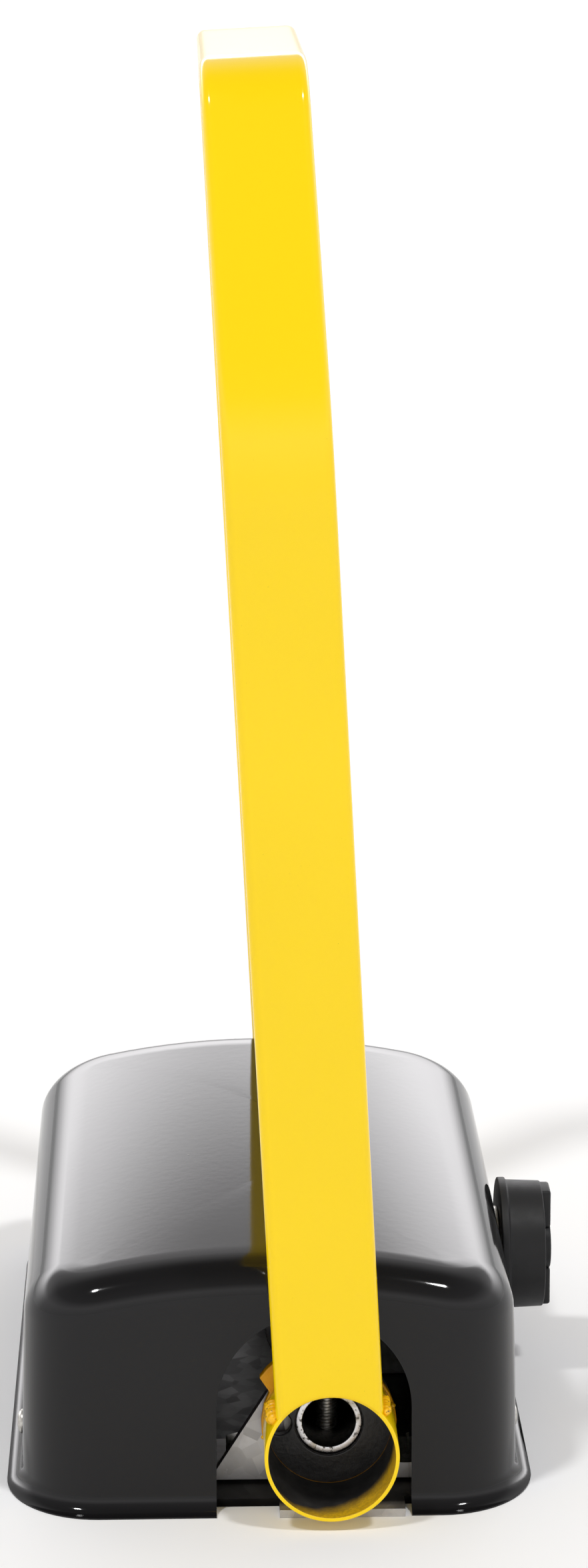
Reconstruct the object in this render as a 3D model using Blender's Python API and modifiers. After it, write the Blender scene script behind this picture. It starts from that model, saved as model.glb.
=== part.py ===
"""Fold-down parking-space barrier, as an assembly of separate parts.

X points to the knob side, Y runs along the pivot shaft away from the front end, Z is up.
The origin is on the ground, under the middle of the base plate.  Sizes are in metres.
"""
import math

import bmesh
import bpy
from mathutils import Matrix, Vector

MM = 0.001
GAP = 0.3 * MM             # between pieces that touch
RUNNING = 0.3 * MM         # round a piece that turns or slides
SEGMENTS = 28
DRILL_SEGMENTS = 16

# Base plate
PLATE_THICKNESS = 3 * MM
COVER_PLAY = 1.7 * MM        # between the plate's edge and the inside of the cover
TAB_PROUD = 0.5 * MM         # the tabs stand this far beyond the cover's rim
TAB_LEFT = 3 * MM
TAB_RIGHT = 50 * MM
TAB_SIDE_STEP = 0.5 * MM     # the end edge stands this much further in on the tab's right side
ANCHOR_X = 62 * MM
ANCHOR_Y = 62 * MM
ANCHOR_RADIUS = 5.5 * MM
EAR_WIDTH = 16 * MM
EAR_HEIGHT = 20 * MM
EAR_THICKNESS = 2.5 * MM
EAR_SETBACK = 0.5 * MM

# Cover
COVER_HALF_WIDTH = 94 * MM
COVER_HALF_LENGTH = 135 * MM
COVER_CORNER = 30 * MM
COVER_WALL = 1.8 * MM
COVER_SIDE_HEIGHT = 82 * MM
COVER_CROWN = 14 * MM
COVER_FILLET = 14 * MM
COVER_DRAFT = math.tan(math.radians(0.9))
COVER_LIFT = 0.5 * MM
RIM_FLARE = 6 * MM
RIM_HEIGHT = 7 * MM
NOTCH_CENTRE = 16 * MM
NOTCH_MARGIN = 4.5 * MM      # round the drive plate's lobe
NOTCH_RISE = 11 * MM         # from the pivot up to the centre of the notch's arch
NOTCH_LIP_PLAY = 1.5 * MM    # from the bracket's face out to the notch's turned-in lip
SCREW_Y = 80 * MM
SCREW_Z = 12 * MM
SCREW_RADIUS = 2.5 * MM
SCREW_LENGTH = 12 * MM
SCREW_HEAD_RADIUS = 4.7 * MM
SCREW_HEAD_HEIGHT = 2.5 * MM

# Pivot
PIVOT_X = 22 * MM
SHAFT_RADIUS = 12.5 * MM
SHAFT_WALL = 2.5 * MM
SHAFT_SETBACK = 1.5 * MM     # from the drive plate's outer face in to the shaft's end
COLLAR_RADIUS = 25 * MM
COLLAR_WALL = 1.5 * MM
COLLAR_PLAY = 1 * MM         # between a collar and the height of the plate's top

# Brackets, from the bracket's outer face outwards along the shaft
BRACKET_INSET = 18 * MM      # from the cover's end in to the bracket's outer face
BRACKET_THICKNESS = 4 * MM
BRACKET_MARGIN = 12.3 * MM   # of plate round the shaft
BRACKET_SLANT = math.radians(31)
BRACKET_LEFT_REACH = 45 * MM
BRACKET_RIGHT_REACH = 50 * MM
BRACKET_WING_HEIGHT = 10 * MM
BRACKET_FOOT_REACH = 25 * MM
BRACKET_FOOT_WIDTH = 26 * MM
BRACKET_HEEL = 0.6 * MM
BUSHING_WALL = 2.2 * MM
BUSHING_RIM = 4.5 * MM       # of flange round the shaft
BUSHING_FLANGE = 2.4 * MM
DRIVE_THICKNESS = 3.5 * MM
DRIVE_MARGIN = 0.6 * MM      # of drive plate round the collar
DRIVE_LOBE = 7 * MM          # from the collar out to the lobe's edge
DRIVE_LOBE_START = math.radians(95)
DRIVE_LOBE_END = math.radians(145)
WINDOW_SHARE = 0.37          # sight window's radius, as a share of the space between shaft and collar
RING_WALL = 4.5 * MM
RING_WIDTH = 16 * MM
RING_PLAY = 2.5 * MM         # from the bracket to the ring
M8_RADIUS = 4 * MM
M8_FLATS = 13 * MM
M8_HEAD = 5.3 * MM
M8_NUT = 6.3 * MM
M8_TIP = 0.7 * MM            # of thread beyond the nut
M8_TIP_PLAY = 1.7 * MM       # from the cross bolt's tip to the base plate

# Arm hoop
TUBE_WIDTH = 40 * MM
TUBE_DEPTH = 15 * MM
TUBE_WALL = 1.5 * MM
TUBE_CORNER = 3.5 * MM
ARM_LEAN = math.radians(3)
ARM_HEIGHT = 541 * MM
SHOULDER_DROP = 129 * MM     # from the top of the hoop
SHOULDER_RUN = 67.3 * MM     # from the leg in to the end of the crossbar
SHOULDER_BEND = 110 * MM
CROSSBAR_BEND = 26 * MM
LEG_SETBACK = 1 * MM
LEG_CLEARANCE = 2.8 * MM     # between the cover's end and the leg

# Lock
BOLT_X = 50 * MM
BOLT_RISE = 23 * MM          # over the pivot
BOLT_WIDTH = 10 * MM
BOLT_HEIGHT = 12 * MM
BOLT_TAIL_HEIGHT = 17 * MM
BOLT_TAIL_LENGTH = 14 * MM
BOLT_TIP_GAP = 1.5 * MM
LOCK_PLATE_Y = -28 * MM
LOCK_PLATE_THICKNESS = 6 * MM
LOCK_HUB_WALL = 9.5 * MM
LOCK_LOBE_MARGIN = 11 * MM
GATE_PLAY = 0.5 * MM         # between the gate and the bolt's tail when it is locked
GATE_GAP = 3.5 * MM
GATE_RIM = 4 * MM
HOUSING_FOOT = 4 * MM
HOUSING_FOOT_REACH = 18 * MM
HOUSING_SCREW_RADIUS = 2.5 * MM
KNOB_DROP = 2 * MM           # of the knob's axis under the bolt's
CRANK_THROW = 8 * MM
CRANK_REST = math.radians(45)
CRANK_RIM = 1 * MM
CRANK_THICKNESS = 4 * MM
CRANK_PIN_RADIUS = 2.5 * MM
CRANK_SLOT_CLEARANCE = 0.4 * MM
SPINDLE_RADIUS = 5 * MM
BARREL_RADIUS = 8 * MM
BARREL_FLANGE_RADIUS = 15 * MM
BARREL_FLANGE = 1.5 * MM
BARREL_NUT_FLATS = 22 * MM
BARREL_NUT = 4.5 * MM
KNOB_RADIUS = 25.5 * MM
KNOB_FLANGE_RADIUS = 26.5 * MM
KNOB_FLANGE = 3 * MM
KNOB_FLOOR = 9 * MM
KNOB_DEPTH = 17.5 * MM
KNOB_GRIP_DEPTH = 21 * MM
KNOB_RIM = 3.5 * MM
GRIP_WIDTH = 13 * MM
GRIP_BOSS_RADIUS = 10 * MM
PLUG_RADIUS = 7 * MM
KEY_SLOT = (1.4 * MM, 7 * MM, 5 * MM)

# Sizes and places that follow from the ones above
PLATE_TOP = PLATE_THICKNESS
PLATE_HALF_WIDTH = COVER_HALF_WIDTH - COVER_WALL - COVER_PLAY
PLATE_HALF_LENGTH = COVER_HALF_LENGTH - COVER_WALL - COVER_PLAY
PLATE_CORNER = COVER_CORNER - COVER_WALL
TAB_REACH = COVER_HALF_LENGTH + RIM_FLARE + TAB_PROUD
RING_RADIUS = SHAFT_RADIUS + RING_WALL
CROSS_BOLT_REACH = RING_RADIUS + GAP + M8_NUT + M8_TIP
PIVOT_Z = PLATE_TOP + max(COLLAR_RADIUS + COLLAR_PLAY, CROSS_BOLT_REACH + M8_TIP_PLAY)
BRACKET_FACE = COVER_HALF_LENGTH - BRACKET_INSET
BRACKET_BACK = BRACKET_FACE - BRACKET_THICKNESS
BRACKET_HEAD_RADIUS = SHAFT_RADIUS + BRACKET_MARGIN
BUSHING_FLANGE_RADIUS = SHAFT_RADIUS + BUSHING_RIM
FLANGE_FACE = BRACKET_FACE + GAP + BUSHING_FLANGE
DRIVE_INNER = FLANGE_FACE + GAP
DRIVE_FACE = DRIVE_INNER + DRIVE_THICKNESS
DRIVE_RADIUS = COLLAR_RADIUS + DRIVE_MARGIN
DRIVE_LOBE_RADIUS = COLLAR_RADIUS + DRIVE_LOBE
WINDOW_RADIUS = (COLLAR_RADIUS - SHAFT_RADIUS) * WINDOW_SHARE
WINDOW_OFFSET = (COLLAR_RADIUS + SHAFT_RADIUS) / 2
NOTCH_HALF_WIDTH = DRIVE_LOBE_RADIUS + NOTCH_MARGIN
NOTCH_ARCH_HEIGHT = PIVOT_Z + NOTCH_RISE
SHAFT_HALF = DRIVE_FACE - SHAFT_SETBACK
COLLAR_INNER = DRIVE_FACE + GAP
LEG_OUTER = COVER_HALF_LENGTH + LEG_CLEARANCE + TUBE_DEPTH
COLLAR_RIM = LEG_OUTER + LEG_SETBACK
CROSSBAR_HALF = LEG_OUTER - TUBE_DEPTH / 2 - SHOULDER_RUN
SHOULDER_HEIGHT = ARM_HEIGHT - SHOULDER_DROP
RING_CENTRE = BRACKET_BACK - RING_PLAY - RING_WIDTH / 2
BOLT_Z = PIVOT_Z + BOLT_RISE
BOLT_RADIUS_ON_PLATE = math.hypot(BOLT_X - PIVOT_X, BOLT_Z - PIVOT_Z)
BOLT_ANGLE = math.atan2(BOLT_Z - PIVOT_Z, BOLT_X - PIVOT_X)
BOLT_TIP = LOCK_PLATE_Y + LOCK_PLATE_THICKNESS / 2 + BOLT_TIP_GAP
LOCK_HUB_RADIUS = SHAFT_RADIUS + LOCK_HUB_WALL
KNOB_Z = BOLT_Z - KNOB_DROP
PIN_Y = CRANK_THROW * math.cos(CRANK_REST)
PIN_Z = KNOB_Z + CRANK_THROW * math.sin(CRANK_REST)
CRANK_RADIUS = CRANK_THROW + CRANK_PIN_RADIUS + CRANK_RIM
GATE_FRONT = BOLT_TIP + GATE_GAP
GATE_THICKNESS = PIN_Y - BOLT_TAIL_LENGTH / 2 - 2 * PIN_Y - GATE_PLAY - GATE_FRONT
CRANK_X = BOLT_X + BOLT_WIDTH / 2 + 4 * GAP
SPINDLE_X = CRANK_X + CRANK_THICKNESS + GAP
WALL_AT_KNOB = COVER_HALF_WIDTH - COVER_DRAFT * KNOB_Z
FLANGE_X = COVER_HALF_WIDTH - COVER_DRAFT * (KNOB_Z - BARREL_FLANGE_RADIUS) + GAP
KNOB_X = FLANGE_X + BARREL_FLANGE + GAP


def start_scene():
    for old in list(bpy.data.objects):
        bpy.data.objects.remove(old, do_unlink=True)
    parts = bpy.data.collections.new("parking_barrier")
    cutters = bpy.data.collections.new("cutters")
    for made in (parts, cutters):
        bpy.context.scene.collection.children.link(made)
    return parts, cutters


PARTS, CUTTERS = start_scene()


def material(name, colour, roughness, metallic=0.0):
    made = bpy.data.materials.new(name)
    made.use_nodes = True
    shader = made.node_tree.nodes["Principled BSDF"]
    shader.inputs["Base Color"].default_value = (*colour, 1.0)
    shader.inputs["Roughness"].default_value = roughness
    shader.inputs["Metallic"].default_value = metallic
    return made


YELLOW = material("yellow_paint", (1.0, 0.66, 0.01), 0.3)
BLACK_PAINT = material("black_paint", (0.02, 0.02, 0.021), 0.15)
ZINC = material("zinc_plate", (0.55, 0.56, 0.57), 0.45, 1.0)
BOLT_STEEL = material("bolt_steel", (0.62, 0.61, 0.58), 0.35, 1.0)
BLACK_PLASTIC = material("black_plastic", (0.03, 0.03, 0.03), 0.6)
NYLON = material("nylon", (0.75, 0.74, 0.7), 0.5)
BRASS = material("brass", (0.75, 0.58, 0.28), 0.3, 1.0)


def keep(obj, name, finish):
    """Put a finished piece in the parts collection under its own name."""
    for home in list(obj.users_collection):
        home.objects.unlink(obj)
    PARTS.objects.link(obj)
    obj.name = name
    obj.data.materials.clear()
    obj.data.materials.append(finish)
    return obj


def as_tool(obj, name):
    """Make an object a hidden cutter or joining shape."""
    for home in list(obj.users_collection):
        home.objects.unlink(obj)
    CUTTERS.objects.link(obj)
    obj.name = name
    obj.hide_render = True
    obj.display_type = "WIRE"
    return obj


def boolean(obj, tool, operation="DIFFERENCE"):
    step = obj.modifiers.new(tool.name, "BOOLEAN")
    step.operation = operation
    step.object = tool
    step.solver = "EXACT"
    return obj


def box(low, high):
    low, high = Vector(low), Vector(high)
    bpy.ops.mesh.primitive_cube_add(size=1, location=(low + high) / 2)
    obj = bpy.context.object
    obj.data.transform(Matrix.Diagonal((*(high - low), 1)))
    return obj


TURNS = {"X": (0, math.pi / 2, 0), "Y": (-math.pi / 2, 0, 0), "Z": (0, 0, 0)}


def cylinder(radius, start, end, axis, vertices=SEGMENTS):
    """A round bar from start to end, two points on a line along the named axis."""
    start, end = Vector(start), Vector(end)
    bpy.ops.mesh.primitive_cylinder_add(
        vertices=vertices, radius=radius, depth=(end - start).length,
        location=(start + end) / 2, rotation=TURNS[axis])
    return bpy.context.object


def hexagon(flats, start, end, axis):
    return cylinder(flats / math.sqrt(3), start, end, axis, vertices=6)


def turned(profile, at, axis, ring=False, flip=False):
    """Turn a profile of (radius, height) points about the named axis through a point."""
    mesh = bpy.data.meshes.new("profile")
    points = [(radius, 0, height) for radius, height in profile]
    edges = [(i, i + 1) for i in range(len(points) - 1)]
    if ring:
        edges.append((len(points) - 1, 0))
    mesh.from_pydata(points, edges, [])
    obj = bpy.data.objects.new("turned", mesh)
    bpy.context.scene.collection.objects.link(obj)
    obj.location = at
    obj.rotation_euler = TURNS[axis]
    if flip:
        obj.rotation_euler = (Matrix.Rotation(math.pi, 3, "Z") @ obj.rotation_euler.to_matrix()).to_euler()
    spin = obj.modifiers.new("turn", "SCREW")
    spin.steps = SEGMENTS
    spin.render_steps = SEGMENTS
    spin.use_merge_vertices = True
    spin.merge_threshold = 0.00001
    return obj


def ring_profile(outer, inner, low, high):
    return [(outer, high), (outer, low), (inner, low), (inner, high)]


def tube(outer, inner, low, high, at, axis):
    return turned(ring_profile(outer, inner, low, high), at, axis, ring=True)


def arc(centre, radius, start, end, steps=12):
    return [(centre[0] + radius * math.cos(start + (end - start) * i / steps),
             centre[1] + radius * math.sin(start + (end - start) * i / steps))
            for i in range(steps + 1)]


def circle(centre, radius, steps=SEGMENTS):
    return arc(centre, radius, 0, 2 * math.pi, steps)[:-1]


FACING = {"Y": (math.pi / 2, 0, 0), "Z": (0, 0, 0), "X": (math.pi / 2, 0, math.pi / 2)}


def plate(outlines, thickness, at, facing):
    """A flat plate whose outlines after the first are holes, as a mesh."""
    curve = bpy.data.curves.new("outline", "CURVE")
    curve.dimensions = "2D"
    curve.fill_mode = "BOTH"
    curve.extrude = thickness / 2
    for points in outlines:
        spline = curve.splines.new("POLY")
        spline.points.add(len(points) - 1)
        for point, (across, up) in zip(spline.points, points):
            point.co = (across, up, 0, 1)
        spline.use_cyclic_u = True
    guide = bpy.data.objects.new("outline", curve)
    bpy.context.scene.collection.objects.link(guide)
    guide.location = at
    guide.rotation_euler = FACING[facing]
    bpy.context.view_layer.update()
    mesh = bpy.data.meshes.new_from_object(guide.evaluated_get(bpy.context.evaluated_depsgraph_get()))
    made = bmesh.new()
    made.from_mesh(mesh)
    bmesh.ops.remove_doubles(made, verts=made.verts, dist=0.000001)
    bmesh.ops.recalc_face_normals(made, faces=made.faces)
    made.to_mesh(mesh)
    made.free()
    obj = bpy.data.objects.new("plate", mesh)
    bpy.context.scene.collection.objects.link(obj)
    obj.matrix_world = guide.matrix_world.copy()
    bpy.data.objects.remove(guide, do_unlink=True)
    return obj


def rounded_rectangle(half_x, half_y, radius, steps=6):
    corners = ((1, 1, 0), (-1, 1, 1), (-1, -1, 2), (1, -1, 3))
    points = []
    for side_x, side_y, quarter in corners:
        centre = (side_x * (half_x - radius), side_y * (half_y - radius))
        points += arc(centre, radius, quarter * math.pi / 2, (quarter + 1) * math.pi / 2, steps)
    return points


def lofted(rings, closed_end):
    """An open skin through rings that all have the same number of points."""
    skin = bmesh.new()
    rows = [[skin.verts.new(point) for point in ring] for ring in rings]
    for lower, upper in zip(rows, rows[1:]):
        for i in range(len(lower)):
            j = (i + 1) % len(lower)
            skin.faces.new((lower[i], lower[j], upper[j], upper[i]))
    if closed_end:
        skin.faces.new(rows[-1])
    mesh = bpy.data.meshes.new("loft")
    skin.to_mesh(mesh)
    skin.free()
    obj = bpy.data.objects.new("loft", mesh)
    bpy.context.scene.collection.objects.link(obj)
    return obj


def solidify(obj, thickness):
    step = obj.modifiers.new("wall", "SOLIDIFY")
    step.thickness = thickness
    step.offset = -1
    step.use_even_offset = True
    return obj


# ---------------------------------------------------------------- base

def make_base_plate():
    x, y, r = PLATE_HALF_WIDTH, PLATE_HALF_LENGTH, PLATE_CORNER
    quarter = math.pi / 2
    right_y = y - TAB_SIDE_STEP
    outline = arc((x - r, right_y - r), r, 0, quarter)
    outline += [(TAB_RIGHT, right_y), (TAB_RIGHT, TAB_REACH), (TAB_LEFT, TAB_REACH), (TAB_LEFT, y)]
    outline += arc((r - x, y - r), r, quarter, 2 * quarter)
    outline += arc((r - x, r - y), r, 2 * quarter, 3 * quarter)
    outline += [(TAB_LEFT, -y), (TAB_LEFT, -TAB_REACH), (TAB_RIGHT, -TAB_REACH), (TAB_RIGHT, -right_y)]
    outline += arc((x - r, r - right_y), r, 3 * quarter, 4 * quarter)
    holes = [circle((sx * ANCHOR_X, sy * ANCHOR_Y), ANCHOR_RADIUS, DRILL_SEGMENTS)
             for sx in (-1, 1) for sy in (-1, 1)]
    holes += [circle(spot, M8_RADIUS + GAP, DRILL_SEGMENTS) for spot in bracket_bolt_spots()]
    holes += [circle(spot, HOUSING_SCREW_RADIUS + GAP, DRILL_SEGMENTS) for spot in housing_screw_spots()]
    obj = plate([outline] + holes, PLATE_THICKNESS, (0, 0, PLATE_THICKNESS / 2), "Z")
    for side in (-1, 1):
        outer = side * (PLATE_HALF_WIDTH - EAR_SETBACK)
        inner = outer - side * EAR_THICKNESS
        for end in (-1, 1):
            low = (min(outer, inner), end * SCREW_Y - EAR_WIDTH / 2, PLATE_THICKNESS / 2)
            high = (max(outer, inner), end * SCREW_Y + EAR_WIDTH / 2, EAR_HEIGHT)
            ear = as_tool(box(low, high), f"ear_{side}_{end}")
            boolean(obj, ear, "UNION")
    for end in (-1, 1):
        reach = PLATE_HALF_WIDTH * 1.2
        drill = cylinder(SCREW_RADIUS + GAP, (-reach, end * SCREW_Y, SCREW_Z),
                         (reach, end * SCREW_Y, SCREW_Z), "X", DRILL_SEGMENTS)
        boolean(obj, as_tool(drill, f"ear_drill_{end}"))
    return keep(obj, "base_plate", ZINC)


def bracket_reaches():
    return (-1, BRACKET_LEFT_REACH), (1, BRACKET_RIGHT_REACH)


def bracket_bolt_spots():
    along = BRACKET_BACK - BRACKET_FOOT_REACH / 2
    return [(PIVOT_X + side * (reach - BRACKET_FOOT_WIDTH / 2), end * along)
            for end in (-1, 1) for side, reach in bracket_reaches()]


def make_bracket(end, name):
    """An upright plate with two feet bent inwards, one on each side of the shaft."""
    foot_z = PLATE_TOP + GAP
    head = arc((PIVOT_X, PIVOT_Z), BRACKET_HEAD_RADIUS, 0, math.pi - BRACKET_SLANT, 16)
    heel = foot_z + BRACKET_HEEL
    right = PIVOT_X + BRACKET_RIGHT_REACH
    outline = [(right, heel), (right, BRACKET_WING_HEIGHT), (head[0][0], BRACKET_WING_HEIGHT)]
    outline += head + [(PIVOT_X - BRACKET_LEFT_REACH, heel)]
    bore = circle((PIVOT_X, PIVOT_Z), SHAFT_RADIUS + RUNNING + BUSHING_WALL + GAP)
    middle = end * (BRACKET_FACE - BRACKET_THICKNESS / 2)
    obj = plate([outline, bore], BRACKET_THICKNESS, (0, middle, 0), "Y")
    for side, reach in bracket_reaches():
        outer = PIVOT_X + side * (reach - 1.5 * BRACKET_HEEL)
        inner = outer - side * BRACKET_FOOT_WIDTH
        near, far = end * (BRACKET_BACK + BRACKET_THICKNESS / 2), end * (BRACKET_BACK - BRACKET_FOOT_REACH)
        foot = box((min(outer, inner), min(near, far), foot_z),
                   (max(outer, inner), max(near, far), foot_z + BRACKET_THICKNESS))
        boolean(obj, as_tool(foot, f"{name}_foot_{side}"), "UNION")
    for spot in bracket_bolt_spots():
        if spot[1] * end > 0:
            drill = cylinder(M8_RADIUS + GAP, (*spot, -0.01), (*spot, 0.02), "Z", DRILL_SEGMENTS)
            boolean(obj, as_tool(drill, f"{name}_drill_{spot[0] > PIVOT_X}"))
    return keep(obj, name, ZINC)


def hex_bolt(name, base, length, axis, way, radius=M8_RADIUS, flats=M8_FLATS, head=M8_HEAD,
             finish=BOLT_STEEL):
    """A hex bolt whose head sits on base and whose shank runs back against way."""
    base, way = Vector(base), Vector(way)
    obj = hexagon(flats, base, base + way * head, axis)
    shank = cylinder(radius, base + way * head / 2, base - way * length, axis, DRILL_SEGMENTS)
    boolean(obj, as_tool(shank, f"{name}_shank"), "UNION")
    return keep(obj, name, finish)


def make_bracket_bolts():
    seat = PLATE_TOP + GAP + BRACKET_THICKNESS + GAP
    for number, spot in enumerate(bracket_bolt_spots(), 1):
        hex_bolt(f"bracket_bolt_{number}", (*spot, seat), seat - GAP, "Z", (0, 0, 1))


def make_bushing(end, name):
    inner = SHAFT_RADIUS + RUNNING
    outer = inner + BUSHING_WALL
    face = BRACKET_FACE + GAP
    profile = [(BUSHING_FLANGE_RADIUS, face + BUSHING_FLANGE), (BUSHING_FLANGE_RADIUS, face),
               (outer, face), (outer, BRACKET_BACK), (inner, BRACKET_BACK), (inner, face + BUSHING_FLANGE)]
    obj = turned(profile, (PIVOT_X, 0, PIVOT_Z), "Y", ring=True, flip=end < 0)
    return keep(obj, name, NYLON)


# ---------------------------------------------------------------- cover

def cover_rings(steps=5):
    """Rings of the outer skin, from the flared rim up the wall and over the crown."""
    def ring(inset, height_of, corner_inset):
        outline = rounded_rectangle(COVER_HALF_WIDTH - inset, COVER_HALF_LENGTH - inset,
                                    max(COVER_CORNER - corner_inset, 2 * MM), steps)
        return [(x, y, height_of(x)) for x, y in outline]

    def crown(x):
        return COVER_SIDE_HEIGHT + COVER_CROWN * (1 - (x / COVER_HALF_WIDTH) ** 2)

    rings = []
    for i in range(5):
        turn = math.pi / 2 * i / 4
        out = RIM_FLARE * (1 - math.sin(turn))
        up = COVER_LIFT + RIM_HEIGHT * (1 - math.cos(turn))
        rings.append(ring(-out, lambda x, z=up: z, -out))
    shoulder = COVER_SIDE_HEIGHT - COVER_FILLET
    draft = COVER_DRAFT * shoulder
    for i in range(6):
        turn = math.pi / 2 * i / 5
        inset = draft + COVER_FILLET * (1 - math.cos(turn))
        drop = COVER_FILLET * (1 - math.sin(turn))
        rings.append(ring(inset, lambda x, d=drop: crown(x) - d, inset))
    full = COVER_HALF_WIDTH - 3 * MM
    start = draft + COVER_FILLET
    for i in range(1, 5):
        inset = start + (full - start) * i / 4
        rings.append(ring(inset, crown, inset))
    return rings


def notch_outline(half, foot):
    arch = arc((NOTCH_CENTRE, NOTCH_ARCH_HEIGHT), half, 0, math.pi, 16)
    return arch + [(NOTCH_CENTRE - half, foot), (NOTCH_CENTRE + half, foot)]


def make_cover():
    obj = solidify(lofted(cover_rings(), closed_end=True), COVER_WALL)
    lip_start = BRACKET_FACE + NOTCH_LIP_PLAY
    lip_end = COVER_HALF_LENGTH - COVER_WALL + GAP / 3
    around = notch_outline(NOTCH_HALF_WIDTH + COVER_WALL, PLATE_TOP + GAP)
    for end in (-1, 1):
        block = plate([around], lip_end - lip_start, (0, end * (lip_start + lip_end) / 2, 0), "Y")
        boolean(obj, as_tool(block, f"notch_lip_{end}"), "UNION")
    reach = COVER_HALF_LENGTH + 3 * RIM_FLARE
    outline = notch_outline(NOTCH_HALF_WIDTH, -COVER_LIFT * 10)
    boolean(obj, as_tool(plate([outline], 2 * reach, (0, 0, 0), "Y"), "cover_notch"))
    for end in (-1, 1):
        reach_x = COVER_HALF_WIDTH + 2 * RIM_FLARE
        drill = cylinder(SCREW_RADIUS + GAP, (-reach_x, end * SCREW_Y, SCREW_Z),
                         (reach_x, end * SCREW_Y, SCREW_Z), "X", DRILL_SEGMENTS)
        boolean(obj, as_tool(drill, f"cover_drill_{end}"))
    start, end = (0, 0, KNOB_Z), (COVER_HALF_WIDTH + RIM_FLARE, 0, KNOB_Z)
    boolean(obj, as_tool(cylinder(BARREL_RADIUS + GAP, start, end, "X"), "barrel_hole"))
    return keep(obj, "cover", BLACK_PAINT)


def make_cover_screws():
    seat = COVER_HALF_WIDTH + 1.2 * GAP
    number = 0
    for side in (-1, 1):
        for end in (-1, 1):
            number += 1
            profile = [(0, seat + SCREW_HEAD_HEIGHT),
                       (SCREW_HEAD_RADIUS * 0.6, seat + SCREW_HEAD_HEIGHT * 0.9),
                       (SCREW_HEAD_RADIUS, seat + SCREW_HEAD_HEIGHT * 0.3),
                       (SCREW_HEAD_RADIUS, seat), (SCREW_RADIUS, seat),
                       (SCREW_RADIUS, seat - SCREW_LENGTH), (0, seat - SCREW_LENGTH)]
            obj = turned(profile, (0, end * SCREW_Y, SCREW_Z), "X", flip=side < 0)
            keep(obj, f"cover_screw_{number}", BOLT_STEEL)


# ---------------------------------------------------------------- pivot and arm

def make_shaft():
    obj = tube(SHAFT_RADIUS, SHAFT_RADIUS - SHAFT_WALL, -SHAFT_HALF, SHAFT_HALF,
               (PIVOT_X, 0, PIVOT_Z), "Y")
    for end in (-1, 1):
        drill = cylinder(M8_RADIUS + GAP, (PIVOT_X, end * RING_CENTRE, PIVOT_Z - 2 * SHAFT_RADIUS),
                         (PIVOT_X, end * RING_CENTRE, PIVOT_Z + 2 * SHAFT_RADIUS), "Z", DRILL_SEGMENTS)
        boolean(obj, as_tool(drill, f"shaft_drill_{end}"))
    return keep(obj, "pivot_shaft", ZINC)


def make_collar(end, name):
    low, high = sorted((end * COLLAR_INNER, end * COLLAR_RIM))
    obj = tube(COLLAR_RADIUS, COLLAR_RADIUS - COLLAR_WALL, low, high, (PIVOT_X, 0, PIVOT_Z), "Y")
    return keep(obj, name, YELLOW)


def make_drive_plate(end, name):
    """The end plate of a collar, with a lobe that limits its turn and a sight window."""
    centre = (PIVOT_X, PIVOT_Z)
    outline = arc(centre, DRIVE_LOBE_RADIUS, DRIVE_LOBE_START, DRIVE_LOBE_END, 6)
    outline += arc(centre, DRIVE_RADIUS, DRIVE_LOBE_END + 0.1, DRIVE_LOBE_START - 0.1 + 2 * math.pi, 24)
    bore = circle(centre, SHAFT_RADIUS + GAP)
    window = circle((PIVOT_X - WINDOW_OFFSET, PIVOT_Z), WINDOW_RADIUS, DRILL_SEGMENTS)
    middle = end * (DRIVE_INNER + DRIVE_THICKNESS / 2)
    return keep(plate([outline, bore, window], DRIVE_THICKNESS, (0, middle, 0), "Y"), name, YELLOW)


def make_retaining_ring(end, name):
    obj = tube(RING_RADIUS, SHAFT_RADIUS + GAP, end * RING_CENTRE - RING_WIDTH / 2,
               end * RING_CENTRE + RING_WIDTH / 2, (PIVOT_X, 0, PIVOT_Z), "Y")
    spot = (PIVOT_X, end * RING_CENTRE)
    drill = cylinder(M8_RADIUS + GAP, (*spot, PIVOT_Z - 2 * RING_RADIUS), (*spot, PIVOT_Z + 2 * RING_RADIUS),
                     "Z", DRILL_SEGMENTS)
    boolean(obj, as_tool(drill, f"{name}_drill"))
    return keep(obj, name, ZINC)


def make_cross_bolt(end, prefix):
    spot = (PIVOT_X, end * RING_CENTRE)
    top = PIVOT_Z + RING_RADIUS + GAP
    nut_top = PIVOT_Z - RING_RADIUS - GAP
    tip = nut_top - M8_NUT - M8_TIP
    hex_bolt(f"{prefix}_cross_bolt", (*spot, top), top - tip, "Z", (0, 0, 1))
    nut = hexagon(M8_FLATS, (*spot, nut_top - M8_NUT), (*spot, nut_top), "Z")
    bore = cylinder(M8_RADIUS + GAP, (*spot, nut_top - 2 * M8_NUT), (*spot, nut_top + M8_NUT), "Z", DRILL_SEGMENTS)
    boolean(nut, as_tool(bore, f"{prefix}_nut_bore"))
    keep(nut, f"{prefix}_cross_nut", BOLT_STEEL)


def bend(corner, before, after, radius, steps):
    """Points of the arc that rounds a corner between two unit directions."""
    corner, before, after = Vector(corner), Vector(before), Vector(after)
    angle = before.angle(after)
    reach = radius * math.tan(angle / 2)
    start = corner - before * reach
    side = (after - before * before.dot(after)).normalized()
    return [start + before * radius * math.sin(angle * i / steps)
            + side * radius * (1 - math.cos(angle * i / steps)) for i in range(steps + 1)]


def hoop_centreline():
    """Points (y, z) of the tube's centreline, from the front leg's foot to the crossbar's middle."""
    leg = LEG_OUTER - TUBE_DEPTH / 2
    top = ARM_HEIGHT - TUBE_DEPTH / 2
    shoulder = Vector((-leg, SHOULDER_HEIGHT))
    corner = Vector((-CROSSBAR_HALF, top))
    slope = (corner - shoulder).normalized()
    points = [Vector((-leg, PIVOT_Z))]
    points += bend(shoulder, (0, 1), slope, SHOULDER_BEND, 5)
    points += bend(corner, slope, (1, 0), CROSSBAR_BEND, 5)
    return points


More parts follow.
